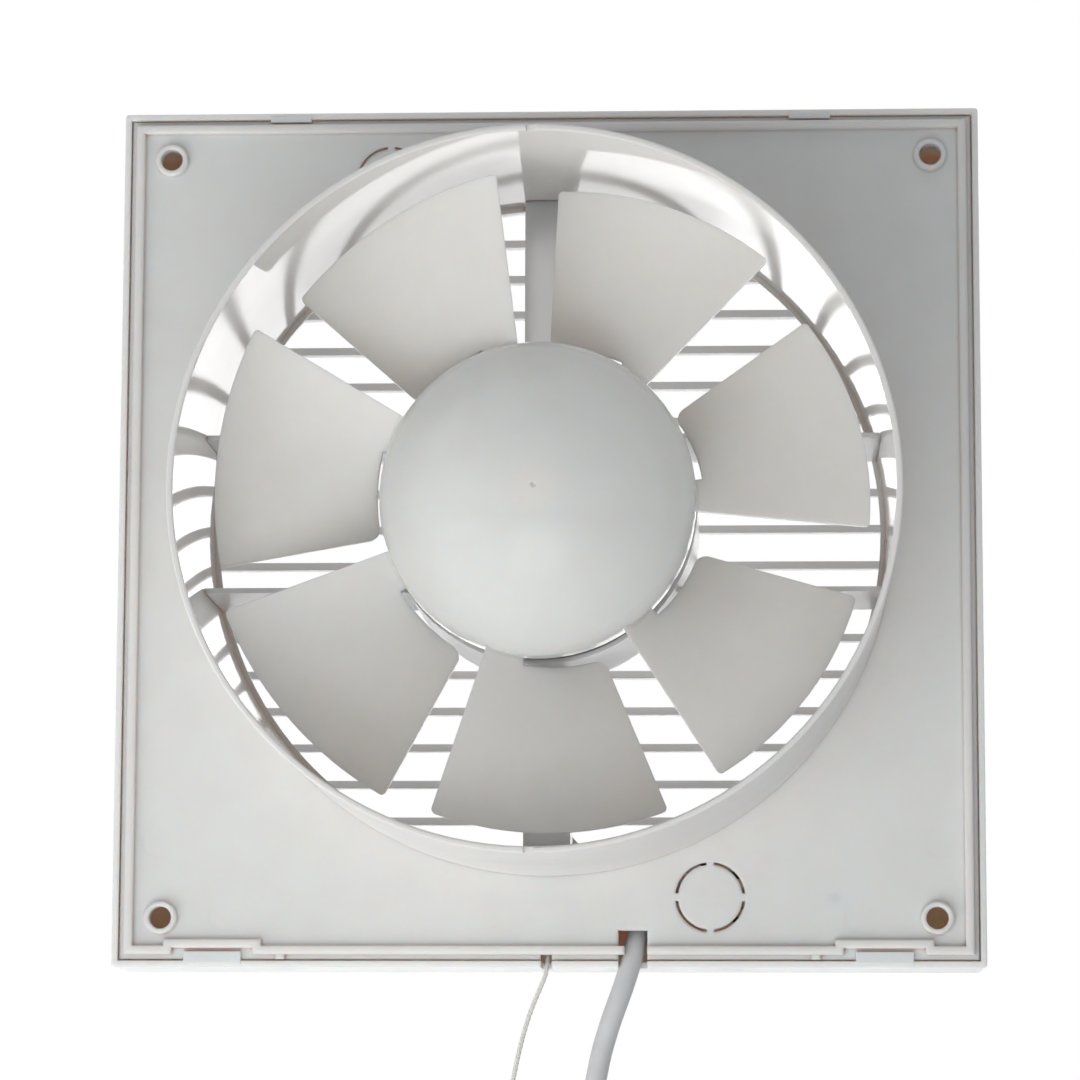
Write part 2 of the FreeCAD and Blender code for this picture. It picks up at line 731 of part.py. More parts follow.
def grille():
    """Level slats across the round opening, joined by one upright bar."""
    depth = (cover_front, cover_front + SLAT_DEPTH)
    rows = int(grille_radius / SLAT_PITCH + 0.5)
    reach = grille_radius + COLLAR_WALL / 2
    bars = [block((-MULLION_WIDTH / 2, MULLION_WIDTH / 2), depth, (-reach, reach))]
    for row in range(rows):
        z = SLAT_PITCH * (row + 0.5)
        for side in (-1, 1):
            level = (side * z - SLAT_THICKNESS / 2, side * z + SLAT_THICKNESS / 2)
            bars.append(block((-reach, reach), depth, level))
    return fuse(bars).common(rod(reach, *depth))


def cover_snaps():
    """Bottom hooks behind the plate's ledge and top clips over its upper edge."""
    snaps = []
    for side in (-1, 1):
        x = side * hook_centre
        snaps.append(
            block(
                (x - HOOK_WIDTH / 2, x + HOOK_WIDTH / 2),
                (hook_front, hook_front + HOOK_THICKNESS),
                (-cover_inner - COVER_WALL / 2, -cover_inner + HOOK_REACH),
            )
        )
        x = side * clip_centre
        snaps.append(
            block(
                (x - CLIP_WIDTH / 2, x + CLIP_WIDTH / 2),
                (hook_front, hook_front + HOOK_THICKNESS),
                (cover_inner + COVER_WALL / 2, cover_inner - CLIP_REACH),
            )
        )
    return snaps


def shield(seat, away, outer_face):
    """A motor end shield: plate, rim that bears on the stator and hub for the bush."""
    inner_face = outer_face + away * SHIELD_PLATE
    plate = rod(shield_radius, outer_face, inner_face)
    land = stator_radius + SHIELD_LAND
    rim = ring(land, land - SHIELD_RIM, inner_face, seat)
    hub = rod(SHIELD_HUB_RADIUS, inner_face, inner_face + away * SHIELD_HUB_LENGTH)
    body = fuse([plate, rim, hub])
    holes = [rod(BUSH_RADIUS + BUSH_FIT, outer_face, inner_face + away * SHIELD_HUB_LENGTH)]
    for x, z in motor_screw_places():
        holes.append(rod(MOTOR_SCREW_RADIUS + SCREW_CLEARANCE, outer_face, seat, x, z))
    return body.cut(holes)


def front_shield():
    """Front end shield, bedded on the cup's floor, with a notch in its edge for the wires."""
    half = WIRE_HOLE_WIDTH / 2
    notch_end = cup_bed + SHIELD_PLATE + WIRE_HOLE_HEIGHT
    notch = block((-half, half), (cup_bed, notch_end), (-CUP_RADIUS, SHIELD_NOTCH - shield_radius))
    return shield(STATOR_START, 1, cup_bed).cut(notch)


def rear_face():
    """Rear face of the motor, as far behind the stator as the front face is before it."""
    return stator_end + STATOR_START - cup_bed


def rear_shield():
    return shield(stator_end, -1, rear_face())


def bush(start):
    """A plain bearing bush for the shaft."""
    return ring(BUSH_RADIUS, SHAFT_RADIUS + BUSH_FIT, start, start + BUSH_LENGTH)


def stator_core():
    """Laminated ring with four poles, pole shoes round the rotor and four screw holes."""
    y = (STATOR_START, stator_end)
    bore = ROTOR_RADIUS + AIR_GAP
    yoke_inner = stator_radius - YOKE_WIDTH
    shapes = [ring(stator_radius, yoke_inner, *y)]
    for pole in range(POLE_COUNT):
        limb = block((SHAFT_RADIUS, yoke_inner + YOKE_WIDTH / 2), y, (-POLE_WIDTH / 2, POLE_WIDTH / 2))
        shoe = block((SHAFT_RADIUS, bore + SHOE_DEPTH), y, (-SHOE_WIDTH / 2, SHOE_WIDTH / 2))
        shoe = shoe.common(rod(bore + SHOE_DEPTH, *y))
        shapes += [turned(limb, 360 / POLE_COUNT * pole), turned(shoe, 360 / POLE_COUNT * pole)]
    holes = [rod(bore, *y)]
    holes += [rod(MOTOR_SCREW_RADIUS + SCREW_CLEARANCE, *y, x, z) for x, z in motor_screw_places()]
    return fuse(shapes).cut(holes)


def stator_windings():
    """One winding round each pole, between its shoe and the yoke."""
    start = ROTOR_RADIUS + AIR_GAP + SHOE_DEPTH + WINDING_INSET
    end = math.sqrt((stator_radius - YOKE_WIDTH) ** 2 - (POLE_WIDTH / 2 + WINDING_GAP + WINDING_BUILD) ** 2)
    half = POLE_WIDTH / 2 + WINDING_GAP
    y = (STATOR_START - WINDING_GAP, stator_end + WINDING_GAP)
    outer = block(
        (start, end - WINDING_INSET),
        (y[0] - WINDING_BUILD, y[1] + WINDING_BUILD),
        (-half - WINDING_BUILD, half + WINDING_BUILD),
    )
    along = [e for e in outer.Edges if e.BoundBox.XLength > WINDING_INSET]
    rounded = outer.makeFillet(WINDING_ROUND, along)
    coil = rounded.cut(block((start, end), y, (-half, half)))
    return Part.makeCompound([turned(coil, 360 / POLE_COUNT * pole) for pole in range(POLE_COUNT)])


def motor_screws():
    """Long screws through both shields and the stator into the cup's floor, heads at the rear."""
    solids = []
    face = rear_face()
    for x, z in motor_screw_places():
        shank = rod(MOTOR_SCREW_RADIUS, HOLDER_FRONT, face, x, z)
        head = rod(SCREW_HEAD_RADIUS, face, face + SCREW_HEAD_HEIGHT, x, z)
        slot = block(
            (x - SCREW_HEAD_RADIUS, x + SCREW_HEAD_RADIUS),
            (face + SCREW_HEAD_HEIGHT - SCREW_SLOT_DEPTH, face + SCREW_HEAD_HEIGHT),
            (z - SCREW_SLOT_WIDTH / 2, z + SCREW_SLOT_WIDTH / 2),
        )
        solids.append(fuse([shank, head.cut(slot)]))
    return Part.makeCompound(solids)


def motor_shaft():
    return rod(SHAFT_RADIUS, SHAFT_FRONT, shaft_rear)


def motor_rotor():
    return ring(ROTOR_RADIUS, SHAFT_RADIUS + HUB_SHAFT_FIT, STATOR_START, stator_end)


def thrust_washers():
    """A washer on the shaft at each end of the rotor."""
    bore = SHAFT_RADIUS + BUSH_FIT
    front = ring(WASHER_RADIUS, bore, STATOR_START - WASHER_THICKNESS, STATOR_START)
    rear = ring(WASHER_RADIUS, bore, stator_end, stator_end + WASHER_THICKNESS)
    return Part.makeCompound([front, rear])


def hub_profile(radius, front, shoulder, apex, rounding):
    """Half outline of a domed cap: straight side, round shoulder and ball-shaped crown."""
    inset = radius - rounding
    drop = apex - shoulder
    crown = (inset**2 + drop**2 - rounding**2) / (2 * (drop - rounding))
    centre = apex - crown
    slope = math.atan2(inset, shoulder - centre)
    meet = Vector(crown * math.sin(slope), centre + crown * math.cos(slope), 0)
    half_way = (slope + math.pi / 2) / 2
    bend = Vector(inset + rounding * math.sin(half_way), shoulder + rounding * math.cos(half_way), 0)
    crest = Vector(crown * math.sin(slope / 2), centre + crown * math.cos(slope / 2), 0)
    top = Vector(0, apex, 0)
    edges = [
        Part.LineSegment(Vector(0, front, 0), Vector(radius, front, 0)),
        Part.LineSegment(Vector(radius, front, 0), Vector(radius, shoulder, 0)),
        Part.Arc(Vector(radius, shoulder, 0), bend, meet),
        Part.Arc(meet, crest, top),
        Part.LineSegment(top, Vector(0, front, 0)),
    ]
    face = Part.Face(Part.Wire([e.toShape() for e in edges]))
    return face.revolve(Vector(0, 0, 0), Vector(0, 1, 0), 360)


def blade_surface(share):
    """How far along the axis the blade lies, at a share of its span."""
    rise = blade_rear - blade_front
    return blade_front + rise * share - BLADE_CAMBER * 4 * share * (1 - share)


def blade_section(share, angle, inner, outer):
    """Cross-section of the blade in a plane through the axis."""
    middle = blade_surface(share)
    low = middle - BLADE_THICKNESS / 2
    high = middle + BLADE_THICKNESS / 2
    turn = math.radians(angle)
    place = [(inner, low), (outer, low), (outer, high), (inner, high)]
    points = [Vector(r * math.cos(turn), y, r * math.sin(turn)) for r, y in place]
    return Part.makePolygon(points + points[:1])


def blade():
    """One screw-shaped blade with round tip corners, sunk into the hub's side wall."""
    inner = hub_radius - BLADE_SINK
    free = hub_radius + BLADE_ROOT_GAP
    steps = BLADE_SECTIONS - 1
    extra = 1 / steps
    shares = [-extra] + [i / steps for i in range(BLADE_SECTIONS)] + [1 + extra]
    outer = tip_radius + BLADE_CORNER
    sections = [blade_section(s, BLADE_SPAN * s, inner, outer) for s in shares]
    sheet = Part.makeLoft(sections, True, False)
    rise = blade_rear - blade_front
    low = blade_front - rise
    high = blade_rear + rise
    sector = Part.makeCylinder(tip_radius, high - low, Vector(0, low, 0), Vector(0, 1, 0), BLADE_SPAN)
    sector = turned(sector, sector_offset(sector))
    sector = sector.cut(rod(free, low, high))
    sector = sector.makeFillet(BLADE_CORNER, corner_edges(sector, tip_radius))
    middle = free * math.sin(math.radians(BLADE_SPAN / 2))
    leading = [e for e in corner_edges(sector, free) if e.CenterOfMass.z < middle]
    sector = sector.makeFillet(BLADE_ROOT_CORNER, leading)
    wing = sheet.common(sector)
    root = sheet.common(ring(free + BLADE_ROOT_GAP, inner, hub_front, hub_shoulder + HUB_SHOULDER_ROUND))
    wedge = Part.makeCylinder(tip_radius, high - low, Vector(0, low, 0), Vector(0, 1, 0), BLADE_SPAN)
    root = root.common(turned(wedge, sector_offset(wedge)))
    return wing.fuse(root)


def sector_offset(sector):
    """The turn that brings a sector's first side onto +X."""
    middle = sector.CenterOfMass
    return BLADE_SPAN / 2 - math.degrees(math.atan2(middle.z, middle.x))


def corner_edges(sector, radius):
    """The edges along Y of a sector at one radius."""
    found = []
    for edge in sector.Edges:
        at = edge.CenterOfMass
        if edge.BoundBox.YLength > BLADE_THICKNESS and abs(math.hypot(at.x, at.z) - radius) < SAME_PLACE:
            if edge.BoundBox.XLength < SAME_PLACE and edge.BoundBox.ZLength < SAME_PLACE:
                found.append(edge)
    return found


def impeller():
    """Domed hub with a boss for the shaft and seven blades."""
    cap = hub_profile(hub_radius, hub_front, hub_shoulder, hub_apex, HUB_SHOULDER_ROUND)
    hollow = hub_profile(
        hub_radius - HUB_WALL, hub_front, hub_shoulder, hub_apex - HUB_WALL, HUB_SHOULDER_ROUND - HUB_WALL
    )
    boss = rod(HUB_BOSS_RADIUS, hub_boss_front, hub_apex - HUB_WALL)
    shell = cap.cut(hollow)
    body = shell.multiFuse([boss])
    vane = blade()
    blades = [turned(vane, BLADE_START + 360 / BLADE_COUNT * i) for i in range(BLADE_COUNT)]
    body = body.multiFuse(blades).removeSplitter()
    bore = rod(SHAFT_RADIUS + HUB_SHAFT_FIT, hub_boss_front, shaft_rear)
    gate = rod(GATE_RADIUS, hub_apex - GATE_DEPTH, hub_apex)
    return body.cut([bore, gate])


def impeller_clip():
    """Spring ring round the hub's boss."""
    inner = HUB_BOSS_RADIUS + HUB_SHAFT_FIT
    return ring(inner + CLIP_RING_WALL, inner, clip_ring_start, clip_ring_start + CLIP_RING_WIDTH)


def holder_screws():
    depth = TAB_THICKNESS + TAB_SCREW_DEPTH
    ends = (-tab_screw_z, tab_screw_z)
    return Part.makeCompound([screw(TAB_SCREW_RADIUS, tab_front, depth, 0, z) for z in ends])


def entry_levels():
    return [entry_top - ENTRY_PITCH * i for i in range(ENTRY_COUNT)]


def terminal_block():
    """Block with four wire entries in its side, a screw over each and one fixing hole."""
    body = block(
        (BLOCK_X, block_right), (block_front, plate_front), (block_bottom, block_bottom + BLOCK_HEIGHT)
    )
    holes = [block_screw_hole(block_front, plate_front)]
    for z in entry_levels():
        mouth = Vector(block_right - ENTRY_DEPTH, ENTRY_Y, z)
        holes.append(Part.makeCylinder(WIRE_DIAMETER / 2 + ENTRY_FIT, ENTRY_DEPTH, mouth, Vector(1, 0, 0)))
        shaft_radius = TERMINAL_SCREW_RADIUS + SCREW_CLEARANCE
        holes.append(rod(shaft_radius, block_front, ENTRY_Y, terminal_screw_x(), z))
    return body.cut(holes)


def terminal_screw_x():
    return block_right - TERMINAL_SCREW_INSET


def terminal_screws():
    """Headless screws that press the wires down in their entries."""
    solids = []
    x = terminal_screw_x()
    for z in entry_levels():
        top = block_front + TERMINAL_SCREW_SINK
        body = rod(TERMINAL_SCREW_RADIUS, top, ENTRY_Y - WIRE_DIAMETER / 2 - ENTRY_FIT, x, z)
        slot = block(
            (x - TERMINAL_SCREW_RADIUS, x + TERMINAL_SCREW_RADIUS),
            (top, top + SCREW_SLOT_DEPTH),
            (z - SCREW_SLOT_WIDTH / 2, z + SCREW_SLOT_WIDTH / 2),
        )
        solids.append(body.cut(slot))
    return Part.makeCompound(solids)


def block_screw():
    depth = BLOCK_DEPTH + BLOCK_SCREW_DEPTH
    return screw(TERMINAL_SCREW_RADIUS, block_front, depth, block_screw_x, block_bottom + BLOCK_HEIGHT / 2)


def cable_clamp():
    """Bar that presses the lead into the wall plate's saddle."""
    across = (clamp_x - CLAMP_WIDTH / 2, clamp_x + CLAMP_WIDTH / 2)
    bar = block(across, (bar_front, bar_rear), (clamp_bottom, clamp_top))
    holes = [clamp_groove()]
    for side in (-1, 1):
        clamp_hole = (clamp_screw_x(side), clamp_middle())
        holes.append(rod(CLAMP_SCREW_RADIUS + SCREW_CLEARANCE, bar_front, bar_rear, *clamp_hole))
    return bar.cut(holes)


def clamp_screws():
    depth = saddle_front + CLAMP_SCREW_DEPTH - bar_front
    places = [(clamp_screw_x(side), clamp_middle()) for side in (-1, 1)]
    return Part.makeCompound([screw(CLAMP_SCREW_RADIUS, bar_front, depth, x, z) for x, z in places])


def switch_cavity():
    """Room for the plunger, open to the front where the lid closes it."""
    half = SWITCH_CAVITY / 2
    return block((cord_x - half, cord_x + half), (switch_front, cord_y + half), (cavity_bottom, cavity_top))


def switch_body():
    """Box of the pull switch with its cavity, cord hole, wire entries and screw holes."""
    half = SWITCH_WIDTH / 2
    depth = (switch_front + SWITCH_WALL, plate_front)
    body = block((cord_x - half, cord_x + half), depth, (switch_bottom, switch_top))
    stem_hole = PLUNGER_STEM_RADIUS + PLUNGER_CLEARANCE
    holes = [switch_cavity()]
    holes.append(Part.makeCylinder(stem_hole, SWITCH_WALL, Vector(cord_x, cord_y, switch_bottom)))
    for side in (-1, 1):
        mouth = Vector(cord_x + side * SWITCH_ENTRY_OFFSET, cord_y, switch_top - SWITCH_ENTRY_DEPTH)
        holes.append(Part.makeCylinder(WIRE_DIAMETER / 2 + ENTRY_FIT, SWITCH_ENTRY_DEPTH, mouth))
        holes.append(switch_screw_hole(side, switch_front + SWITCH_WALL, plate_front))
    return body.cut(holes)


def switch_lid():
    half = SWITCH_WIDTH / 2
    depth = (switch_front, switch_front + SWITCH_WALL)
    lid = block((cord_x - half, cord_x + half), depth, (switch_bottom, switch_top))
    return lid.cut([switch_screw_hole(side, switch_front, switch_front + SWITCH_WALL) for side in (-1, 1)])


def switch_screws():
    """Two screws through lid and body into the wall plate."""
    z = switch_bottom + SWITCH_SCREW_RISE
    depth = SWITCH_DEPTH + PLATE_THICKNESS / 2
    return Part.makeCompound(
        [
            screw(SWITCH_SCREW_RADIUS, switch_front, depth, cord_x + side * SWITCH_SCREW_OFFSET, z)
            for side in (-1, 1)
        ]
    )


def switch_plunger():
    """Plunger with a head on the return spring and a stem that carries the cord."""
    head = Part.makeCylinder(PLUNGER_HEAD_RADIUS, PLUNGER_HEAD, Vector(cord_x, cord_y, head_bottom))
    stem = Part.makeCylinder(PLUNGER_STEM_RADIUS, head_bottom - stem_end, Vector(cord_x, cord_y, stem_end))
    return fuse([head, stem])


def switch_spring():
    """Return spring between the plunger's head and the switch's floor."""
    low = cavity_bottom + SPRING_END_GAP + SPRING_WIRE / 2
    high = head_bottom - SPRING_END_GAP - SPRING_WIRE / 2
    quarters = SPRING_TURNS * 4
    climb = (high - low) / (SPRING_TURNS * 2 * math.pi)
    stops = []
    for quarter in range(quarters + 1):
        turn = quarter * math.pi / 2
        across = Vector(math.cos(turn), math.sin(turn), 0) * SPRING_RADIUS
        at = Vector(cord_x, cord_y, low + climb * turn) + across
        heading = Vector(-across.y, across.x, climb).normalize()
        stops.append((at, heading))
    path = []
    for (start, heading), (end, arrival) in zip(stops, stops[1:]):
        path += biarc(start, heading, end, arrival)
    gap = (high - low) / SPRING_TURNS - SPRING_WIRE
    print(f"switch_spring: gap between turns {gap:.2f}")
    return sweep(path, *stops[0], SPRING_WIRE / 2)


def coil_stop(turn):
    """Place and heading on the coil: in along one layer, over in half a turn, out along the next."""
    layer = math.pi * (COIL_TURNS - 0.5)
    step = COIL_PITCH / (2 * math.pi)
    inner = COIL_RADIUS - step * layer
    past = turn - layer
    if past <= 0:
        radius, slope, y, rise = COIL_RADIUS - step * turn, -step, coil_start.y, 0.0
    elif past < math.pi:
        share = past / math.pi
        radius = inner - step * (past - past * past / math.pi)
        slope = -step * (1 - 2 * share)
        y = coil_start.y - COIL_PITCH * share * share * (3 - 2 * share)
        rise = -COIL_PITCH * 6 * share * (1 - share) / math.pi
    else:
        radius, slope, y, rise = inner + step * (past - math.pi), step, second_layer, 0.0
    at = Vector(coil_centre.x + radius * math.cos(turn), y, coil_centre.z - radius * math.sin(turn))
    right = slope * math.cos(turn) - radius * math.sin(turn)
    up = -slope * math.sin(turn) - radius * math.cos(turn)
    heading = Vector(right, rise, up)
    return at, heading.normalize()


def coil_path():
    """The coil's centreline: a straight start, quarter turns as pairs of arcs and a straight end."""
    down = Vector(0, 0, -1)
    quarters = COIL_TURNS * 4
    stops = [coil_stop(quarter * math.pi / 2) for quarter in range(quarters + 1)]
    stops[0] = (stops[0][0], down)
    stops[-1] = (stops[-1][0], down)
    path = [Part.LineSegment(coil_start, stops[0][0])]
    for (start, heading), (end, arrival) in zip(stops, stops[1:]):
        path += biarc(start, heading, end, arrival)
    path.append(Part.LineSegment(stops[-1][0], coil_end()))
    return path


def coil_end():
    """Where the tail leaves the coil, straight below its second layer's last turn."""
    return Vector(coil_start.x, second_layer, coil_centre.z - LEAD_DIAMETER)


def self_gap(path, diameter):
    """Least gap between parts of a tube that lie over a quarter turn apart along it."""
    points = []
    for curve in path:
        count = max(2, int(curve.length() / 3))
        first, last = curve.FirstParameter, curve.LastParameter
        points += [curve.value(first + (last - first) * i / count) for i in range(count)]
    apart = 10
    least = min((a - b).Length for i, a in enumerate(points) for b in points[i + apart:])
    return least - diameter


def lead_coil():
    """The lead's spare length as one unbroken tube in two layers of turns."""
    path = coil_path()
    length = sum(curve.length() for curve in path)
    solid = sweep(path, coil_start, Vector(0, 0, -1), LEAD_DIAMETER / 2)
    share = solid.Volume / (length * math.pi * LEAD_DIAMETER**2 / 4)
    gap = self_gap(path, LEAD_DIAMETER)
    print(f"lead_coil: length {length:.1f}, least self gap {gap:.2f}, volume share {share:.4f}")
    return solid


def lead_tail():
    """Straight end of the lead from the coil into the plug's strain relief."""
    top = coil_end()
    return Part.makeCylinder(LEAD_DIAMETER / 2, top.z - plug_top, Vector(top.x, top.y, plug_top))


def coil_tie():
    """Band round the bundle of turns on the coil's far side."""
    layer = COIL_PITCH * (COIL_TURNS - 0.5) / 2
    half = LEAD_DIAMETER / 2 + TIE_GAP
    near = COIL_RADIUS - layer - COIL_PITCH / 2 - half
    x = (coil_centre.x - COIL_RADIUS - half, coil_centre.x - near)
    y = (second_layer - half, coil_start.y + half)
    z = (coil_centre.z - TIE_WIDTH / 2, coil_centre.z + TIE_WIDTH / 2)
    t = TIE_THICKNESS
    outer = block((x[0] - t, x[1] + t), (y[0] - t, y[1] + t), z)
    return outer.cut(block(x, y, z))


def plug_body():
    """Flat two-pin plug with a tapered strain relief."""
    at = coil_end()
    relief_foot = plug_top - RELIEF_LENGTH
    relief = Part.makeCone(
        RELIEF_FOOT_RADIUS, RELIEF_TOP_RADIUS, RELIEF_LENGTH, Vector(at.x, at.y, relief_foot)
    )
    face = relief_foot - PLUG_LENGTH
    outline = [
        Vector(at.x - PLUG_WIDTH / 2, 0, relief_foot),
        Vector(at.x + PLUG_WIDTH / 2, 0, relief_foot),
        Vector(at.x + PLUG_FACE_WIDTH / 2, 0, relief_foot - PLUG_LENGTH / 2),
        Vector(at.x + PLUG_WIDTH / 2, 0, face),
        Vector(at.x - PLUG_WIDTH / 2, 0, face),
        Vector(at.x - PLUG_FACE_WIDTH / 2, 0, relief_foot - PLUG_LENGTH / 2),
    ]
    slab = Part.Face(Part.makePolygon(outline + outline[:1])).extrude(Vector(0, PLUG_THICKNESS, 0))
    slab.translate(Vector(0, at.y - PLUG_THICKNESS / 2, 0))
    slab = slab.makeFillet(PLUG_ROUND, slab.Edges)
    body = fuse([slab, relief])
    roots = [Part.makeCylinder(PIN_RADIUS, PIN_ROOT, Vector(x, at.y, face)) for x in pin_places()]
    return body.cut(roots)


def pin_places():
    at = coil_end()
    return [at.x - PIN_SPACING / 2, at.x + PIN_SPACING / 2]


def plug_pins():
    """Two round pins with ball-shaped ends, rooted in the plug."""
    at = coil_end()
    face = plug_top - RELIEF_LENGTH - PLUG_LENGTH
    tip = face - PIN_LENGTH + PIN_RADIUS
    pins = []
    for x in pin_places():
        shank = Part.makeCylinder(PIN_RADIUS, face + PIN_ROOT - tip, Vector(x, at.y, tip))
        pins.append(fuse([shank, Part.makeSphere(PIN_RADIUS, Vector(x, at.y, tip))]))
    return Part.makeCompound(pins)


def motor_wire(name, start, route):
    """A motor wire: out of the motor, down the channel with a point half-way, and on to its terminal."""
    x, y, top = start[-1]
    end = from_edge(route)
    half_way = (x, y - CHANNEL_DROP, (top + end[0][2]) / 2)
    return tube(name, start + [half_way] + end, WIRE_DIAMETER)


def mains_cores():
    """The two cores of the lead, from its sheath to the terminal block."""
    return Part.makeCompound([tube("mains_core", from_edge(route), WIRE_DIAMETER) for route in CORE_ROUTES])


def pull_cord():
    return tube("pull_cord", pull_route, CORD_DIAMETER)


def cord_knob():
    """Bell-shaped knob, bored for the cord's end."""
    x, y, cord_end = pull_route[-1]
    foot = knob_top - KNOB_LENGTH
    bell = Part.makeCone(KNOB_RADIUS, KNOB_TOP_RADIUS, KNOB_LENGTH, Vector(x, y, foot))
    bell = bell.makeFillet(KNOB_ROUND, [e for e in bell.Edges if e.BoundBox.ZLength < SAME_PLACE])
    neck = Part.makeCylinder(KNOB_NECK_RADIUS, cord_end - knob_top, Vector(x, y, knob_top))
    return fuse([bell, neck])


nodes = {
    "wall_plate": wall_plate,
    "duct_spigot": duct_spigot,
    "motor_holder": motor_holder,
    "holder_screws": holder_screws,
    "front_cover": front_cover,
    "motor_front_shield": front_shield,
    "motor_rear_shield": rear_shield,
    "front_bush": lambda: bush(cup_bed + SHIELD_FIT),
    "rear_bush": lambda: bush(rear_face() - SHIELD_FIT - BUSH_LENGTH),
    "stator_core": stator_core,
    "stator_windings": stator_windings,
    "motor_screws": motor_screws,
    "motor_shaft": motor_shaft,
    "motor_rotor": motor_rotor,
    "thrust_washers": thrust_washers,
    "impeller": impeller,
    "impeller_clip": impeller_clip,
    "terminal_block": terminal_block,
    "terminal_screws": terminal_screws,
    "block_screw": block_screw,
    "cable_clamp": cable_clamp,
    "clamp_screws": clamp_screws,
    "switch_body": switch_body,
    "switch_lid": switch_lid,
    "switch_screws": switch_screws,
    "switch_plunger": switch_plunger,
    "switch_spring": switch_spring,
    "motor_live_wire": lambda: motor_wire("motor_live_wire", LIVE_START, LIVE_ROUTE),
    "motor_neutral_wire": lambda: motor_wire("motor_neutral_wire", NEUTRAL_START, NEUTRAL_ROUTE),
    "switch_wire": lambda: tube("switch_wire", from_edge(SWITCH_ROUTE), WIRE_DIAMETER),
    "mains_cores": mains_cores,
    "mains_lead": lambda: tube("mains_lead", lead_route, LEAD_DIAMETER),
    "lead_coil": lead_coil,
    "lead_tail": lead_tail,
    "coil_tie": coil_tie,
    "plug_body": plug_body,
    "plug_pins": plug_pins,
    "pull_cord": pull_cord,
    "cord_knob": cord_knob,
}

os.makedirs("parts", exist_ok=True)
for name, make in nodes.items():
    shape = make()
    print(f"{name}: {len(shape.Solids)} solid(s), valid {shape.isValid()}, volume {shape.Volume:.1f}")
    shape.exportStep(f"parts/{name}.step")
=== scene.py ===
"""Looks of a wall exhaust fan, seen from its wall side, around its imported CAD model. Sizes are in metres."""

import math
from collections import namedtuple

import bmesh
import bpy
from mathutils import Matrix, Quaternion, Vector


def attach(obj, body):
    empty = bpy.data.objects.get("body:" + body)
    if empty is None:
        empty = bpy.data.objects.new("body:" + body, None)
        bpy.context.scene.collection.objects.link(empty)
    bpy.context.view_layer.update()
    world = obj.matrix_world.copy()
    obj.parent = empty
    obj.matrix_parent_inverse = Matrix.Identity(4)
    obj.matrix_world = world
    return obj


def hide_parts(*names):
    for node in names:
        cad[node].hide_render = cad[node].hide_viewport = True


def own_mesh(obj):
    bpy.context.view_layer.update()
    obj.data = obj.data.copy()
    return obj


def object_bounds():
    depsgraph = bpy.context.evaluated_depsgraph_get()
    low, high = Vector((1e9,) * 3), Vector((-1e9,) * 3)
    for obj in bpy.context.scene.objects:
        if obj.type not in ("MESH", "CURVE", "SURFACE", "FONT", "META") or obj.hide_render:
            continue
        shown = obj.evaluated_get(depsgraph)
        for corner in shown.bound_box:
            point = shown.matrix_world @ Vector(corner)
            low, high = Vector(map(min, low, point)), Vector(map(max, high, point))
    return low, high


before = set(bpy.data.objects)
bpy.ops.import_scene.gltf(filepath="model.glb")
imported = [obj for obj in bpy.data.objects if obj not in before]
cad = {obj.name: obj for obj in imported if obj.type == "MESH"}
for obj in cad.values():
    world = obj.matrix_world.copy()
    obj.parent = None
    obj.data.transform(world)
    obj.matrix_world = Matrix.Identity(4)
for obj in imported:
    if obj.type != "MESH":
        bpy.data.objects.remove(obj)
cad_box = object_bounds()
scene = bpy.context.scene

MM = 0.001
WHITE = (1, 1, 1, 1)

# Camera: the photograph's side in pixels, place, heading from straight at the wall, focal length in pixels
FRAME_PIXELS = 1080
SENSOR = 36.0
CAMERA_PLACE = (-0.05667, 1.2290, -0.1804)
CAMERA_YAW = 0.0480
CAMERA_PITCH = 0.1438
CAMERA_ROLL = 0.0033
CAMERA_FOCAL = 4306.5
CAMERA_REACH = 20.0

# Floor: room under the object, half of its side, and where it fades to white and how far it does
FLOOR_GAP = 0.0015
FLOOR_HALF = 4.0
FLOOR_NEAR = 0.25
FLOOR_FAR = 0.9
FLOOR_WHITE = (0.6, 1.0)

# Edges' rounds, the colour and reach of the painted shade that darkens and warms hollows in plastic,
# and how deep red, green and blue light goes in it, in millimetres
EDGE_ROUND = 0.0004
PLATE_EDGE_ROUND = 0.0016
METAL_EDGE_ROUND = 0.0002
PAINTED_SHADE_REACH = 0.002
HOLLOW_PAINTED_SHADE = (232, 158, 124)
WARM = (4.0, 2.5, 1.7)
NEUTRAL = (10.0, 9.4, 9.0)
BLADE_DEPTHS = (4.8, 3.3, 2.5)
SHEATH_DEPTHS = (1.0, 0.7, 0.5)
PLASTIC_IOR = 1.5

# Sockets of a mix node for each type of data: share, first, second and result
MIX_SOCKETS = {"FLOAT": (0, 2, 3, 0), "VECTOR": (0, 4, 5, 1), "RGBA": (0, 6, 7, 2)}

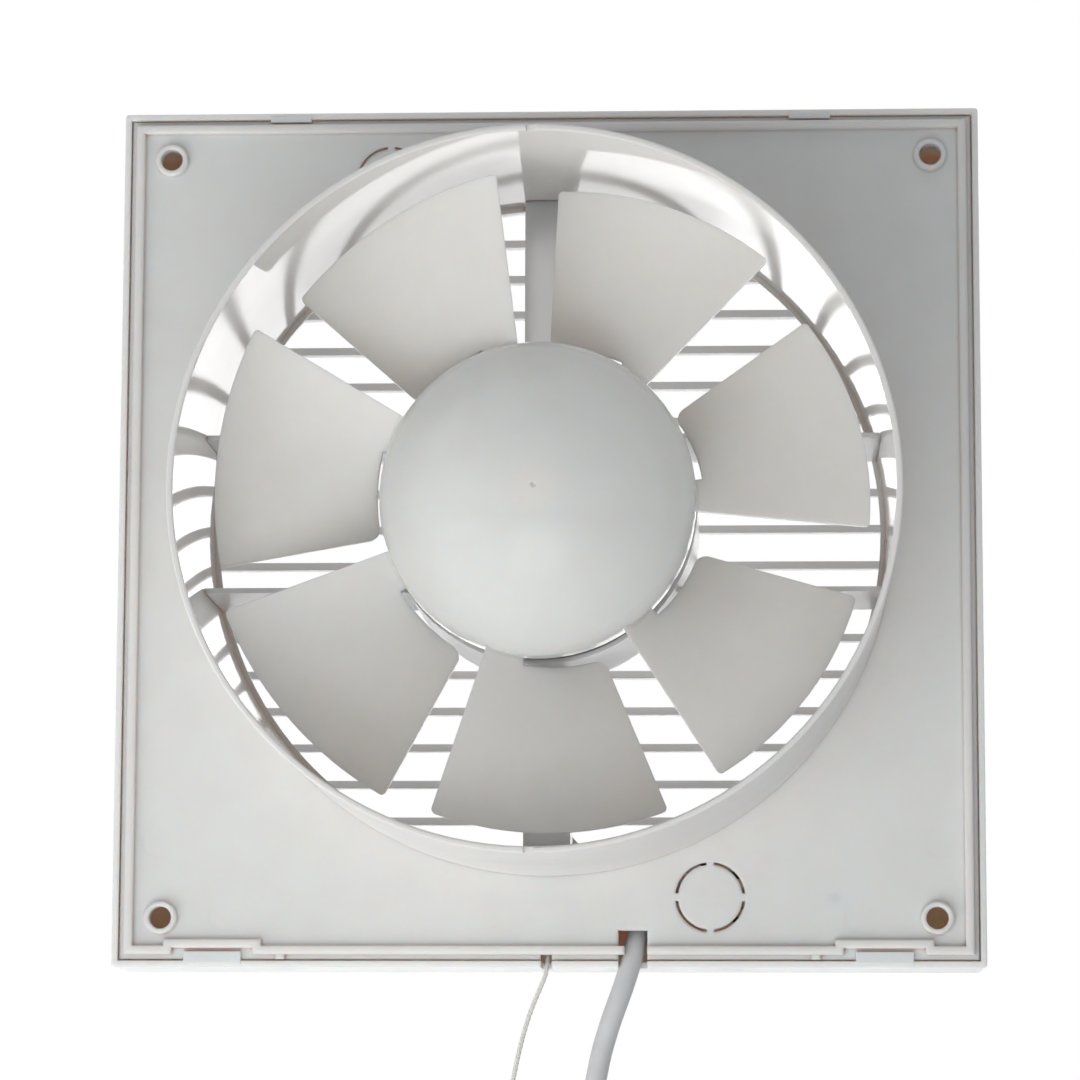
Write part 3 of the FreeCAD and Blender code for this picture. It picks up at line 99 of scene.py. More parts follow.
# Cords, as their routes in the CAD source in millimetres
LEAD_DIAMETER = 6.1
LEAD_ROUTE = [
    (-26.4, -13.5, -98.5),
    (-26.4, -13.5, -109.6),
    (-25.5, -9.4, -116.3),
    (-24.1, -5.2, -122.6),
    (-21.7, -3.2, -130.6),
    (-17.6, -3.2, -141.5),
    (-14.3, -3.2, -153.5),
    (-12.4, -3.2, -168.0),
    (-12.0, -3.2, -188.5),
    (-12.0, -3.2, -207.0),
]
COIL_CENTRE = (-58.0, -3.2, -213.1)
COIL_RADIUS = 46.0
COIL_PITCH = 6.75
COIL_TURNS = 6
COIL_STEPS = 24
TAIL_ROUTE = [(-12.0, -9.95, -219.2), (-12.0, -9.95, -238.0)]
CORD_DIAMETER = 1.4
CORD_ROUTE = [
    (0.3, -11.7, -119.0),
    (0.3, -11.7, -125.4),
    (2.4, -11.7, -130.4),
    (5.6, -11.7, -138.0),
    (8.4, -11.7, -148.0),
    (10.8, -11.7, -160.0),
    (12.6, -11.7, -175.0),
    (13.6, -11.7, -193.0),
    (14.0, -11.7, -213.0),
    (14.1, -11.7, -236.0),
    (14.1, -11.7, -258.0),
]
CORD_STRANDS = 3
CORD_LAY = 5.0
CORD_RESOLUTION = 40
STRAND_GROOVE = 0.34
STRAND_SIDES = 8

# Inner wires
WIRE_DIAMETER = 1.8
LIVE_LENGTH = 0.0957
NEUTRAL_LENGTH = 0.1449
SWITCH_LENGTH = 0.0763
CORE_LENGTHS = (0.0479, 0.0436)
LIVE_ROUTE = [
    (2.2, 3.5, -18.5),
    (2.2, 3.5, -27.0),
    (2.2, 1.1, -35.0),
    (2.2, 0.2, -48.0),
    (2.2, -0.4, -61.0),
    (2.4, -4.4, -74.0),
    (2.9, -11.6, -80.5),
    (5.2, -14.6, -88.0),
    (7.6, -14.0, -96.0),
    (8.3, -11.7, -102.5),
    (8.3, -11.7, -109.0),
]
NEUTRAL_ROUTE = [
    (-2.2, 3.5, -18.5),
    (-2.2, 3.5, -27.0),
    (-2.2, 1.1, -35.0),
    (-2.2, 0.2, -48.0),
    (-2.2, -0.4, -61.0),
    (-2.4, -4.4, -74.0),
    (-3.2, -11.6, -80.5),
    (-5.0, -17.0, -87.0),
    (-10.5, -21.5, -91.5),
    (-20.0, -24.3, -93.5),
    (-34.0, -23.8, -98.0),
    (-46.0, -19.6, -103.4),
    (-55.0, -12.8, -107.0),
    (-61.0, -11.0, -107.5),
    (-67.0, -11.0, -107.5),
]
SWITCH_ROUTE = [
    (-7.7, -11.7, -109.0),
    (-7.7, -11.7, -102.2),
    (-10.2, -16.4, -98.4),
    (-16.8, -21.6, -97.9),
    (-28.0, -23.6, -100.6),
    (-40.0, -22.4, -105.6),
    (-51.0, -15.0, -110.4),
    (-59.0, -11.0, -111.5),
    (-67.0, -11.0, -111.5),
]
CORE_ROUTES = [
    [
        (-25.2, -13.5, -98.5),
        (-25.2, -13.5, -94.6),
        (-28.4, -13.4, -91.6),
        (-35.0, -13.2, -91.4),
        (-43.0, -12.6, -94.0),
        (-51.0, -11.6, -97.6),
        (-59.0, -11.0, -99.5),
        (-67.0, -11.0, -99.5),
    ],
    [
        (-27.6, -13.5, -98.5),
        (-27.6, -13.5, -96.2),
        (-30.4, -13.4, -94.4),
        (-36.0, -13.2, -95.0),
        (-43.0, -12.6, -98.0),
        (-51.0, -11.6, -101.6),
        (-59.0, -11.0, -103.5),
        (-67.0, -11.0, -103.5),
    ],
]

# Return spring of the switch: foot of its wire's line, seat and share of its height left at full pull
SPRING_FOOT = (0.3, -11.7, -117.85)
SPRING_RISE = 8.3
SPRING_TURNS = 6
SPRING_STEPS = 28
SPRING_RADIUS = 2.6
SPRING_WIRE = 0.5
SPRING_SIDES = 10

# Motor windings: reach from the axis, build over the pole, the pole's halves along and across the axis,
# and the steps round a turn of wire and a corner
POLE_COUNT = 4
WINDING_START = 18.6
WINDING_END = 25.77
WINDING_BUILD = 4.55
WINDING_MIDDLE = 18.0
POLE_HALF = (8.3, 4.8)
TURN_PITCH = 0.6
TURN_STEPS = 4
CORNER_STEPS = 6


def metres(route):
    return [Vector(p) * MM for p in route]


def connect(tree, node, inputs):
    """Sets a node's inputs to numbers or colours, or links them to sockets."""
    for key, value in inputs.items():
        if isinstance(value, bpy.types.NodeSocket):
            tree.links.new(value, node.inputs[key])
        else:
            node.inputs[key].default_value = value


def add(tree, kind, inputs=None, **settings):
    """A new node with its settings and inputs."""
    node = tree.nodes.new(kind)
    for key, value in settings.items():
        setattr(node, key, value)
    connect(tree, node, inputs or {})
    return node


def feed(tree, shader, **values):
    """Sets or links a shader's inputs, named with underscores for spaces."""
    connect(tree, shader, {key.replace("_", " "): value for key, value in values.items()})


def srgb(red, green, blue):
    """A colour given in 0 to 255 as linear light."""
    light = []
    for part in (red, green, blue):
        c = part / 255
        light.append(c / 12.92 if c <= 0.04045 else ((c + 0.055) / 1.055) ** 2.4)
    return (*light, 1.0)


def new_material(name):
    material = bpy.data.materials.new(name)
    material.use_nodes = True
    return material, material.node_tree, material.node_tree.nodes["Principled BSDF"]


def places(tree, stretch=(1, 1, 1)):
    """Places on a piece, in metres in the shared frame."""
    coordinate = add(tree, "ShaderNodeTexCoord").outputs["Object"]
    return add(tree, "ShaderNodeMapping", {"Vector": coordinate, "Scale": stretch}).outputs["Vector"]


def noise(tree, at, scale, detail=3.0, rough=0.5):
    inputs = {"Vector": at, "Scale": scale, "Detail": detail, "Roughness": rough}
    return add(tree, "ShaderNodeTexNoise", inputs).outputs["Fac"]


def span(tree, value, low, high, start=0.3, end=0.7):
    """A value's range from start to end spread from low to high."""
    inputs = {"Value": value, "From Min": start, "From Max": end, "To Min": low, "To Max": high}
    return add(tree, "ShaderNodeMapRange", inputs).outputs["Result"]


def worked(tree, operation, *values):
    """The result of a math node."""
    return add(tree, "ShaderNodeMath", dict(enumerate(values)), operation=operation).outputs[0]


def mixed(tree, kind, share, first, second, blend="MIX"):
    """A mix of two numbers, vectors or colours."""
    share_at, first_at, second_at, result_at = MIX_SOCKETS[kind]
    inputs = {share_at: share, first_at: first, second_at: second}
    return add(tree, "ShaderNodeMix", inputs, data_type=kind, blend_type=blend).outputs[result_at]


def blend_colour(tree, share, first, second, blend="MIX"):
    return mixed(tree, "RGBA", share, first, second, blend)


def bumped(tree, height, depth, normal=None):
    inputs = {"Height": height, "Distance": depth, "Strength": 1.0}
    if normal is not None:
        inputs["Normal"] = normal
    return add(tree, "ShaderNodeBump", inputs).outputs["Normal"]


def rounded(tree, radius, samples):
    """Normals that round a piece's edges off."""
    return add(tree, "ShaderNodeBevel", {"Radius": radius}, samples=samples).outputs["Normal"]


def openness(tree, reach):
    """How far a place lies open: 0 deep in a hollow and 1 in the open."""
    return add(tree, "ShaderNodeAmbientOcclusion", {"Distance": reach}, samples=6).outputs["AO"]


def length_of(tree, vector):
    return add(tree, "ShaderNodeVectorMath", {0: vector}, operation="LENGTH").outputs["Value"]


def square_reach(tree, at):
    """Half the side of the square round the axis on which a place lies."""
    parts = add(tree, "ShaderNodeSeparateXYZ", {0: at}).outputs
    return worked(tree, "MAXIMUM", *[worked(tree, "ABSOLUTE", parts[axis]) for axis in "XZ"])


# Part of a plastic round the axis, up to a radius and its edge, with a gloss, glow and depths of its own
Core = namedtuple("Core", "radius edge gloss glow depths")


def moulded(
    name,
    pale,
    deep,
    gloss,
    grain,
    glow,
    depths=WARM,
    painted_shade_colour=HOLLOW_PAINTED_SHADE,
    reach=PAINTED_SHADE_REACH,
    edge_round=EDGE_ROUND,
    shine=0.5,
    core=None,
    rim=None,
):
    """Moulded plastic: slow cloudy tone, fine grain, soft edges, painted warm shade in hollows and light
    passing through.

    The painted shade in hollows is left out of a core, and fades out between the two half sides of a rim.
    """
    material, tree, shader = new_material(name)
    at = places(tree)
    broad = noise(tree, at, scale=14.0, detail=2.0)
    cloud = noise(tree, at, scale=85.0, detail=2.0)
    fine = noise(tree, at, scale=1500.0, detail=3.0, rough=0.6)
    patch = span(tree, worked(tree, "MULTIPLY", broad, cloud), low=0.0, high=1.0, start=0.05, end=0.50)
    colour = blend_colour(tree, patch, srgb(*pale), srgb(*deep))
    # Painted shade: places that ambient occlusion finds deep in hollows get up to 0.9 of the shade colour
    hollow = span(tree, openness(tree, reach), low=0.9, high=0.0, start=0.05, end=0.55)
    rough = span(tree, cloud, *gloss, start=0.1, end=0.9)
    if core is not None:
        away = length_of(tree, places(tree, (1, 0, 1)))
        outside = span(tree, away, low=0.0, high=1.0, start=core.radius, end=core.radius + core.edge)
        inside = span(tree, cloud, *core.gloss, start=0.1, end=0.9)
        rough = mixed(tree, "FLOAT", outside, inside, rough)
        hollow = worked(tree, "MULTIPLY", hollow, outside)
        if core.depths != depths:
            glow = mixed(tree, "FLOAT", outside, core.glow, glow)
            depths = mixed(tree, "VECTOR", outside, core.depths, depths)
    if rim is not None:
        start, end = rim
        within = span(tree, square_reach(tree, at), low=1.0, high=0.0, start=start, end=end)
        hollow = worked(tree, "MULTIPLY", hollow, within)
    # Painted shade: the hollows' share multiplies in the warm shade colour, darker and browner where less
    # light reaches
    colour = blend_colour(tree, hollow, colour, srgb(*painted_shade_colour), "MULTIPLY")
    normal = bumped(tree, fine, grain, rounded(tree, edge_round, samples=6))
    feed(tree, shader, Base_Color=colour, Roughness=rough, Normal=normal)
    feed(tree, shader, IOR=PLASTIC_IOR, Specular_IOR_Level=shine)
    feed(tree, shader, Subsurface_Weight=glow, Subsurface_Radius=depths, Subsurface_Scale=MM)
    return material


def metal(name, pale, deep, gloss, stretch, scale=900.0, depth=0.00001):
    """Worked metal with streaks along one direction and dull patches."""
    material, tree, shader = new_material(name)
    streak = noise(tree, places(tree, stretch), scale, detail=4.0, rough=0.65)
    patch = noise(tree, places(tree), scale=240.0)
    colour = blend_colour(tree, span(tree, patch, low=0.0, high=1.0), srgb(*pale), srgb(*deep))
    normal = bumped(tree, streak, depth, rounded(tree, METAL_EDGE_ROUND, samples=4))
    feed(tree, shader, Base_Color=colour, Metallic=1.0, Roughness=span(tree, streak, *gloss), Normal=normal)
    return material


def laminated(name, pale, deep, stain):
    """Stacked steel sheets, one stripe each along the stack."""
    material, tree, shader = new_material(name)
    at = places(tree)
    inputs = {"Vector": at, "Scale": 314.0, "Distortion": 0.4, "Detail": 1.0}
    sheets = add(tree, "ShaderNodeTexWave", inputs, bands_direction="Y").outputs["Fac"]
    rust = noise(tree, at, scale=300.0, detail=4.0)
    stripe = span(tree, sheets, low=0.0, high=1.0, start=0.1, end=0.9)
    colour = blend_colour(tree, stripe, srgb(*deep), srgb(*pale))
    spots = span(tree, rust, low=0.0, high=0.4, start=0.55, end=0.8)
    colour = blend_colour(tree, spots, colour, srgb(*stain))
    feed(tree, shader, Base_Color=colour, Metallic=0.85, Roughness=span(tree, rust, low=0.35, high=0.6))
    feed(tree, shader, Normal=bumped(tree, sheets, depth=0.0001))
    return material


def sheathed(name, pale, deep, gloss=(0.42, 0.58), glow=0.1):
    """Soft vinyl cable sheath: fine grain, slow shade and scuffs."""
    material, tree, shader = new_material(name)
    at = places(tree)
    scuff = noise(tree, places(tree, (1, 1, 0.3)), scale=260.0, detail=5.0, rough=0.65)
    cloud = noise(tree, at, scale=70.0)
    fine = noise(tree, at, scale=1900.0, detail=2.0)
    colour = blend_colour(tree, span(tree, cloud, low=0.0, high=1.0), srgb(*pale), srgb(*deep))
    worn = span(tree, scuff, low=0.0, high=0.5, start=0.55, end=0.8)
    colour = blend_colour(tree, worn, colour, srgb(*deep))
    feed(tree, shader, Base_Color=colour, Roughness=span(tree, scuff, *gloss))
    feed(tree, shader, Normal=bumped(tree, fine, depth=0.00003))
    feed(tree, shader, Subsurface_Weight=glow, Subsurface_Radius=SHEATH_DEPTHS, Subsurface_Scale=MM)
    return material


def fibrous(name, pale, deep):
    """Twisted cotton or nylon yarn: fine fibres, fuzz sheen and soiling."""
    material, tree, shader = new_material(name)
    fibre = noise(tree, places(tree, (1, 1, 0.25)), scale=4200.0, detail=4.0, rough=0.7)
    soil = noise(tree, places(tree), scale=45.0)
    colour = blend_colour(tree, span(tree, fibre, low=0.0, high=1.0), srgb(*pale), srgb(*deep))
    soiled = span(tree, soil, low=0.0, high=0.3, start=0.5, end=0.8)
    colour = blend_colour(tree, soiled, colour, srgb(*deep))
    feed(tree, shader, Base_Color=colour, Roughness=0.8, Sheen_Weight=0.3, Sheen_Roughness=0.5)
    feed(tree, shader, Normal=bumped(tree, fibre, depth=0.00012))
    return material


def enamelled(name, pale, deep):
    """Enamelled winding wire."""
    material, tree, shader = new_material(name)
    at = places(tree)
    patch = noise(tree, at, scale=350.0)
    fine = noise(tree, at, scale=2600.0, detail=2.0)
    colour = blend_colour(tree, span(tree, patch, low=0.0, high=1.0), srgb(*pale), srgb(*deep))
    feed(tree, shader, Base_Color=colour, Metallic=0.9, Roughness=span(tree, fine, low=0.25, high=0.4))
    feed(tree, shader, Normal=bumped(tree, fine, depth=0.00003), Coat_Weight=0.5, Coat_Roughness=0.2)
    return material


housing_white = moulded(
    "housing_white",
    pale=(232, 232, 231),
    deep=(226, 225, 223),
    gloss=(0.28, 0.40),
    grain=0.000006,
    glow=0.6,
    edge_round=PLATE_EDGE_ROUND,
)
holder_white = moulded(
    "holder_white",
    pale=(242, 242, 241),
    deep=(237, 236, 234),
    gloss=(0.28, 0.40),
    grain=0.000006,
    glow=0.9,
    depths=NEUTRAL,
)
cover_white = moulded(
    "cover_white",
    pale=(242, 240, 238),
    deep=(238, 235, 232),
    gloss=(0.28, 0.40),
    grain=0.000006,
    glow=0.75,
    # Painted shade: a warm tint darkens the cover's hollows found over 30 mm, and is faded out near the rim's
    # gap
    painted_shade_colour=(254, 220, 196),
    reach=0.030,
    rim=(0.1175, 0.1190),
    core=Core(radius=0.1035, edge=0.0010, gloss=(0.28, 0.40), glow=1.0, depths=NEUTRAL),
)
duct_white = moulded(
    "duct_white",
    pale=(236, 235, 234),
    deep=(230, 229, 227),
    gloss=(0.38, 0.46),
    grain=0.000003,
    glow=0.3,
    core=Core(radius=0.0976, edge=0.0006, gloss=(0.05, 0.08), glow=0.3, depths=WARM),
    shine=0.2,
)
blade_white = moulded(
    "blade_white",
    pale=(240, 238, 235),
    deep=(235, 232, 228),
    gloss=(0.28, 0.36),
    grain=0.000003,
    glow=0.7,
    core=Core(radius=0.0436, edge=0.0010, gloss=(0.15, 0.20), glow=0.7, depths=BLADE_DEPTHS),
    depths=BLADE_DEPTHS,
)
knob_white = moulded(
    "knob_white", pale=(228, 226, 222), deep=(219, 215, 209), gloss=(0.25, 0.36), grain=0.000008, glow=0.2
)
tie_nylon = moulded(
    "tie_nylon", pale=(224, 222, 215), deep=(210, 206, 197), gloss=(0.30, 0.42), grain=0.000008, glow=0.3
)
inner_ivory = moulded(
    "inner_ivory", pale=(214, 209, 196), deep=(200, 193, 178), gloss=(0.38, 0.5), grain=0.000012, glow=0.0
)
plug_grey = moulded(
    "plug_grey", pale=(196, 197, 199), deep=(180, 181, 184), gloss=(0.40, 0.55), grain=0.00002, glow=0.0
)
steel = metal(
    "zinced_steel", pale=(205, 206, 208), deep=(168, 168, 166), gloss=(0.22, 0.40), stretch=(1, 0.08, 1)
)
cast_zinc = metal(
    "cast_zinc",
    pale=(176, 177, 179),
    deep=(140, 141, 144),
    gloss=(0.38, 0.56),
    stretch=(1, 1, 1),
    scale=700.0,
    depth=0.00003,
)
bronze = metal(
    "bearing_bronze", pale=(190, 142, 86), deep=(150, 104, 58), gloss=(0.30, 0.45), stretch=(1, 0.05, 1)
)
nickel = metal(
    "bright_nickel",
    pale=(226, 224, 219),
    deep=(196, 194, 190),
    gloss=(0.10, 0.22),
    stretch=(1, 1, 0.06),
    scale=1100.0,
    depth=0.000004,
)
laminations = laminated("stator_sheets", pale=(140, 140, 143), deep=(70, 70, 74), stain=(120, 84, 60))
copper = enamelled("enamelled_copper", pale=(176, 98, 52), deep=(128, 62, 34))
grey_sheath = sheathed("grey_sheath", pale=(216, 217, 219), deep=(200, 201, 204))
live_sheath = sheathed("brown_insulation", pale=(116, 72, 46), deep=(92, 54, 34), gloss=(0.3, 0.45), glow=0.0)
neutral_sheath = sheathed(
    "white_insulation", pale=(224, 223, 219), deep=(206, 204, 198), gloss=(0.3, 0.45), glow=0.0
)
yarn = fibrous("pull_yarn", pale=(240, 239, 236), deep=(216, 213, 207))

finishes = {
    housing_white: ["wall_plate"],
    holder_white: ["motor_holder"],
    cover_white: ["front_cover"],
    duct_white: ["duct_spigot"],
    blade_white: ["impeller"],
    knob_white: ["cord_knob"],
    tie_nylon: ["coil_tie"],
    inner_ivory: ["terminal_block", "cable_clamp", "switch_body", "switch_lid", "switch_plunger"],
    plug_grey: ["plug_body"],
    steel: [
        "holder_screws",
        "motor_screws",
        "motor_shaft",
        "thrust_washers",
        "impeller_clip",
        "terminal_screws",
        "block_screw",
        "clamp_screws",
        "switch_screws",
    ],
    cast_zinc: ["motor_front_shield", "motor_rear_shield"],
    bronze: ["front_bush", "rear_bush"],
    nickel: ["plug_pins"],
    laminations: ["stator_core", "motor_rotor"],
}
for material, names in finishes.items():
    for name in names:
        for held in cad[name].material_slots:
            held.material = material


def linked(name, data):
    piece = bpy.data.objects.new(name, data)
    scene.collection.objects.link(piece)
    return piece


def spline_curve(name, points, diameter=0.0, resolution=8):
    """A smooth cord line with the route's points as its control points."""
    data = bpy.data.curves.new(name, "CURVE")
    data.dimensions = "3D"
    data.resolution_u = resolution
    data.bevel_depth = diameter / 2
    data.bevel_resolution = 6
    data.use_fill_caps = True
    spline = data.splines.new("NURBS")
    spline.points.add(len(points) - 1)
    for held, point in zip(spline.points, points):
        held.co = (*point, 1.0)
    spline.order_u = 3
    spline.use_endpoint_u = True
    return linked(name, data)


def coil_point(turn):
    """Control point on the lead's coil: in by the first layer, over in half a turn, out by the second."""
    x, y, z = COIL_CENTRE
    layer = math.pi * (COIL_TURNS - 0.5)
    step = COIL_PITCH / (2 * math.pi)
    inner = COIL_RADIUS - step * layer
    past = turn - layer
    if past <= 0:
        radius = COIL_RADIUS - step * turn
    elif past < math.pi:
        share = past / math.pi
        radius = inner - step * (past - past * past / math.pi)
        y -= COIL_PITCH * share * share * (3 - 2 * share)
    else:
        radius = inner + step * (past - math.pi)
        y -= COIL_PITCH
    radius /= math.cos(math.pi / COIL_STEPS)
    return (x + radius * math.cos(turn), y, z - radius * math.sin(turn))


coil = [coil_point(2 * math.pi * step / COIL_STEPS) for step in range(COIL_TURNS * COIL_STEPS + 1)]
lead = spline_curve("lead", metres(LEAD_ROUTE + coil + TAIL_ROUTE), LEAD_DIAMETER * MM)
lead.data.materials.append(grey_sheath)
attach(lead, "housing")
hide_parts("mains_lead", "lead_coil", "lead_tail")


def line_points(points, resolution):
    """Points along a route's smooth line, read from a curve with no bevel."""
    guide = spline_curve("guide", points, 0.0, resolution)
    mesh = bpy.data.meshes.new_from_object(guide.evaluated_get(bpy.context.evaluated_depsgraph_get()))
    found = [v.co.copy() for v in mesh.vertices]
    bpy.data.objects.remove(guide)
    bpy.data.meshes.remove(mesh)
    return found


def mesh_piece(name, built):
    """A smooth-shaded piece from a finished bmesh."""
    mesh = bpy.data.meshes.new(name)
    bmesh.ops.recalc_face_normals(built, faces=built.faces)
    built.to_mesh(mesh)
    built.free()
    for face in mesh.polygons:
        face.use_smooth = True
    return linked(name, mesh)


def skinned(built, rings, closed=False):
    """Faces between rings of points; the end rings are capped unless the rings close."""
    rings = [[built.verts.new(point) for point in ring] for ring in rings]
    pairs = list(zip(rings, rings[1:]))
    if closed:
        pairs.append((rings[-1], rings[0]))
    for first, second in pairs:
        for step in range(len(first)):
            after = (step + 1) % len(first)
            built.faces.new((first[step], first[after], second[after], second[step]))
    if not closed:
        built.faces.new(reversed(rings[0]))
        built.faces.new(rings[-1])


def tube(name, line, radius, around, side):
    """A tube along a line; radius is given by the angle round it and the length gone."""
    rings = []
    gone = 0.0
    for index, point in enumerate(line):
        ahead = (line[min(index + 1, len(line) - 1)] - line[max(index - 1, 0)]).normalized()
        across = (side - ahead * side.dot(ahead)).normalized()
        over = ahead.cross(across)
        if index:
            gone += (point - line[index - 1]).length
        ring = []
        for step in range(around):
            angle = 2 * math.pi * step / around
            reach = radius(angle, gone)
            ring.append(point + across * (reach * math.cos(angle)) + over * (reach * math.sin(angle)))
        rings.append(ring)
    built = bmesh.new()
    skinned(built, rings)
    return mesh_piece(name, built)


def strand_radius(angle, gone):
    """Outline of strands laid round each other."""
    twist = 2 * math.pi * gone / (CORD_LAY * MM)
    lobe = abs(math.sin(CORD_STRANDS * (angle - twist) / 2)) ** 0.5
    return CORD_DIAMETER * MM / 2 * (1 - STRAND_GROOVE + STRAND_GROOVE * lobe)


cord_line = line_points(metres(CORD_ROUTE), CORD_RESOLUTION)
cord = tube("pull_string", cord_line, strand_radius, CORD_STRANDS * STRAND_SIDES, Vector((0, 1, 0)))
cord.data.materials.append(yarn)
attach(cord, "pull")
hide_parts("pull_cord")

inner_wires = [
    ("live_wire", LIVE_ROUTE, LIVE_LENGTH, "motor_live_wire", "live_insulation", live_sheath),
    (
        "neutral_wire",
        NEUTRAL_ROUTE,
        NEUTRAL_LENGTH,
        "motor_neutral_wire",
        "neutral_insulation",
        neutral_sheath,
    ),
    ("switched_wire", SWITCH_ROUTE, SWITCH_LENGTH, "switch_wire", "live_insulation", live_sheath),
    ("live_core", CORE_ROUTES[0], CORE_LENGTHS[0], "mains_cores", "core_insulation", live_sheath),
    ("neutral_core", CORE_ROUTES[1], CORE_LENGTHS[1], "mains_cores", "core_insulation", neutral_sheath),
]
for name, route, length, node, slot, sheath in inner_wires:
    wire = spline_curve(name, metres(route), WIRE_DIAMETER * MM)
    wire.data.materials.append(sheath)
    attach(wire, "housing")
    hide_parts(node)


def spring_line():
    """Line of the return spring's wire, up from its foot."""
    x, y, low = SPRING_FOOT
    line = []
    for step in range(SPRING_TURNS * SPRING_STEPS + 1):
        turn = 2 * math.pi * step / SPRING_STEPS
        rise = SPRING_RISE * step / (SPRING_TURNS * SPRING_STEPS)
        line.append((x + SPRING_RADIUS * math.cos(turn), y + SPRING_RADIUS * math.sin(turn), low + rise))
    return metres(line)


def spring_radius(angle, gone):
    """Outline of the spring's round wire."""
    return SPRING_WIRE * MM / 2


spring = tube("return_spring", spring_line(), spring_radius, SPRING_SIDES, Vector((0, 0, 1)))
spring.data.materials.append(steel)
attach(spring, "housing")
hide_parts("switch_spring")
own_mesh(spring)


def dip(place):
    """Depth of a round wire's side below its crown, in wire widths."""
    off = 2 * (place % 1) - 1
    return 0.5 - 0.5 * math.sqrt(1 - off * off)


def turn_outline():
    """Outline across a winding: reach from the axis and build over the pole, a bump for each turn."""
    columns = round((WINDING_END - WINDING_START) / TURN_PITCH)
    layers = round(WINDING_BUILD / TURN_PITCH)
    reach = (WINDING_END - WINDING_START) / columns
    rise = WINDING_BUILD / layers
    crown = TURN_STEPS // 2
    across = [step / TURN_STEPS for step in range(crown, columns * TURN_STEPS - crown + 1)]
    down = [step / TURN_STEPS for step in range(crown, layers * TURN_STEPS + 1)]
    over = [(WINDING_START + reach * turn, WINDING_BUILD - reach * dip(turn)) for turn in across]
    far = [(WINDING_END - rise * dip(turn), WINDING_BUILD - rise * turn) for turn in down]
    near = [(WINDING_START + rise * dip(turn), WINDING_BUILD - rise * turn) for turn in reversed(down)]
    return over + far + near


def pole_loop():
    """Places round a pole in the axis and side directions, each with its outward direction."""
    loop = []
    half_y, half_z = POLE_HALF
    for side, end, first in ((1, 1, 0), (1, -1, 90), (-1, -1, 180), (-1, 1, 270)):
        for step in range(CORNER_STEPS + 1):
            angle = math.radians(first + 90 * step / CORNER_STEPS)
            corner = (WINDING_MIDDLE + end * half_y, side * half_z)
            loop.append((*corner, math.cos(angle), math.sin(angle)))
    return loop


built = bmesh.new()
for pole in range(POLE_COUNT):
    turned = Matrix.Rotation(2 * math.pi * pole / POLE_COUNT, 3, "Y")
    rings = []
    for y, z, out_y, out_z in pole_loop():
        ring = [(reach, y + out_y * rise, z + out_z * rise) for reach, rise in turn_outline()]
        rings.append([turned @ point for point in metres(ring)])
    skinned(built, rings, closed=True)
windings = mesh_piece("windings", built)
windings.data.materials.append(copper)
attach(windings, "housing")
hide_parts("stator_windings")


def soft_light(name, place, target, size, power, colour=(1, 1, 1)):
    """A round area lamp that the camera doesn't see."""
    data = bpy.data.lights.new(name, "AREA")
    data.shape = "DISK"
    data.size = size
    data.energy = power
    data.color = colour
    lamp = linked(name, data)
    lamp.location = place
    lamp.rotation_mode = "QUATERNION"
    lamp.rotation_quaternion = (Vector(target) - Vector(place)).to_track_quat("-Z", "Y")
    lamp.visible_camera = False


soft_light(
    "key_lamp",
    place=(0.55, 0.55, -0.75),
    target=(0, 0, -0.02),
    size=1.4,
    power=8.6,
    colour=(1.0, 0.985, 0.96),
)
soft_light("fill_lamp", place=(0.0, 1.45, -0.75), target=(0, 0, 0), size=0.9, power=4.6)
soft_light("back_lamp", place=(-0.1, -1.3, 0.1), target=(0, 0, 0), size=1.6, power=8.4)

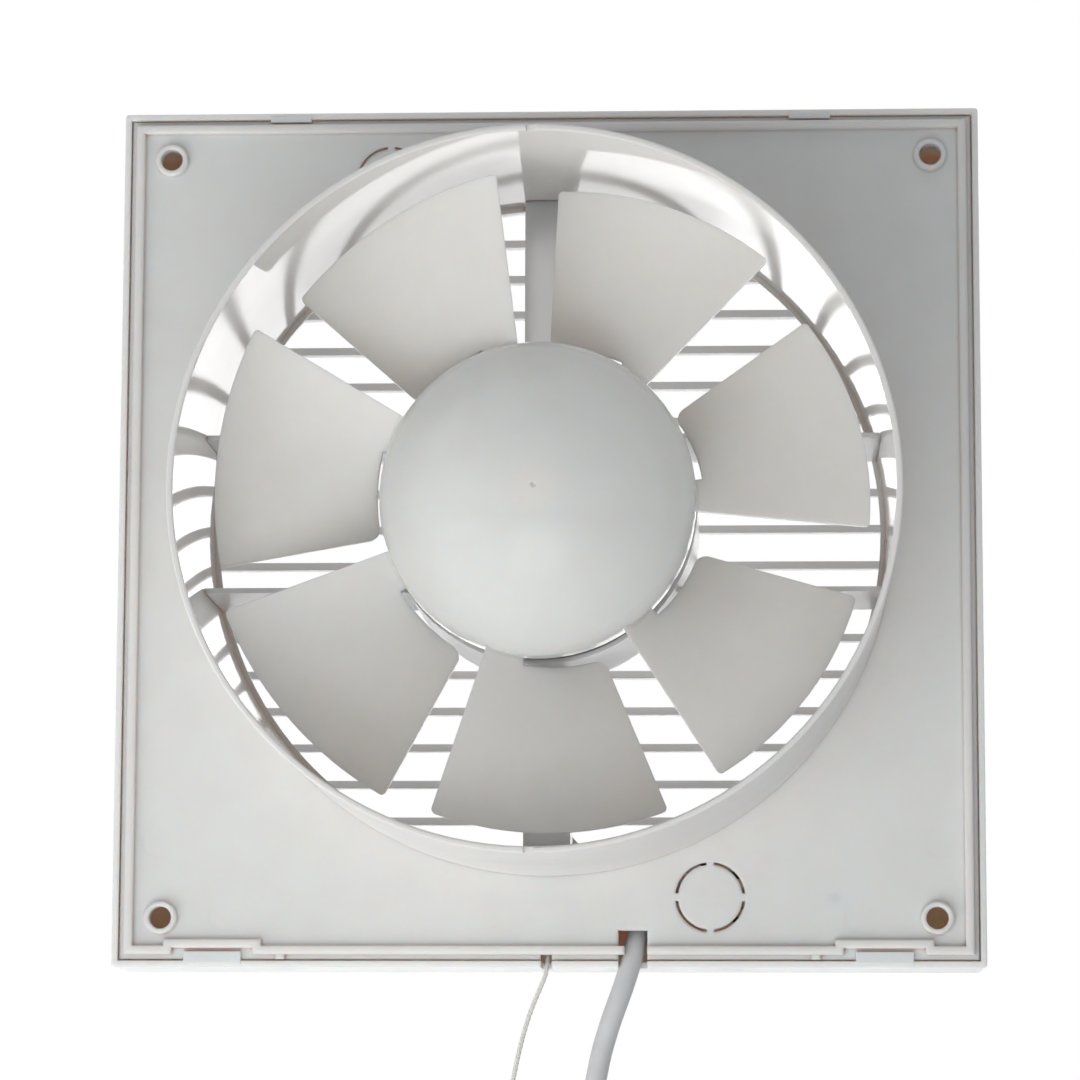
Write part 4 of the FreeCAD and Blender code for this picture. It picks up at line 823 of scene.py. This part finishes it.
# World: white where it is seen, and a soft light from the front and above on the object
world = bpy.data.worlds.new("studio")
scene.world = world
world.use_nodes = True
sky = world.node_tree
sky.nodes.clear()
rays = add(sky, "ShaderNodeLightPath").outputs
seen = worked(sky, "MAXIMUM", rays["Is Camera Ray"], rays["Is Glossy Ray"])
seen = worked(sky, "MAXIMUM", seen, rays["Is Transmission Ray"])
heading = add(sky, "ShaderNodeTexCoord").outputs["Generated"]
heading = add(sky, "ShaderNodeSeparateXYZ", {"Vector": heading}).outputs
around = span(sky, heading["Y"], low=0.46, high=0.30, start=-0.5, end=0.2)
above = span(sky, heading["Z"], low=0.0, high=0.50, start=0.55, end=0.95)
ambient = worked(sky, "ADD", around, above)
dim = add(sky, "ShaderNodeBackground", {"Color": (0.95, 0.975, 1.0, 1), "Strength": ambient})
bright = add(sky, "ShaderNodeBackground", {"Color": WHITE, "Strength": 1.0})
both = add(sky, "ShaderNodeMixShader", {0: seen, 1: dim.outputs[0], 2: bright.outputs[0]})
add(sky, "ShaderNodeOutputWorld", {"Surface": both.outputs[0]})

# Floor: pale, with the object's shadow, and fading to the white background
plane = bmesh.new()
bmesh.ops.create_grid(plane, x_segments=1, y_segments=1, size=FLOOR_HALF)
floor_mesh = bpy.data.meshes.new("floor")
plane.to_mesh(floor_mesh)
plane.free()
floor = linked("floor", floor_mesh)
floor.location.z = cad_box[0].z - FLOOR_GAP
floor.visible_diffuse = False
floor.visible_shadow = False
pale_floor, tree, shader = new_material("pale_floor")
cloud = noise(tree, places(tree), scale=3.0)
floor_colour = blend_colour(tree, cloud, srgb(244, 244, 243), srgb(238, 238, 237))
feed(tree, shader, Base_Color=floor_colour, Roughness=0.7)
rays = add(tree, "ShaderNodeLightPath").outputs
lit = add(tree, "ShaderNodeEmission", {"Color": WHITE, "Strength": 1.0})
fade = span(tree, length_of(tree, places(tree)), *FLOOR_WHITE, start=FLOOR_NEAR, end=FLOOR_FAR)
share = worked(tree, "MULTIPLY", rays["Is Camera Ray"], fade)
shown = add(tree, "ShaderNodeMixShader", {0: share, 1: shader.outputs[0], 2: lit.outputs[0]})
connect(tree, tree.nodes["Material Output"], {"Surface": shown.outputs[0]})
floor.data.materials.append(pale_floor)

camera = linked("camera", bpy.data.cameras.new("camera"))
camera.data.sensor_width = SENSOR
camera.data.lens = CAMERA_FOCAL / FRAME_PIXELS * SENSOR
camera.data.clip_end = CAMERA_REACH
camera.location = CAMERA_PLACE
level = math.cos(CAMERA_PITCH)
ahead = Vector((math.sin(CAMERA_YAW) * level, -math.cos(CAMERA_YAW) * level, math.sin(CAMERA_PITCH)))
camera.rotation_mode = "QUATERNION"
camera.rotation_quaternion = ahead.to_track_quat("-Z", "Y") @ Quaternion((0, 0, 1), CAMERA_ROLL)
scene.camera = camera
scene.view_settings.view_transform = "Standard"
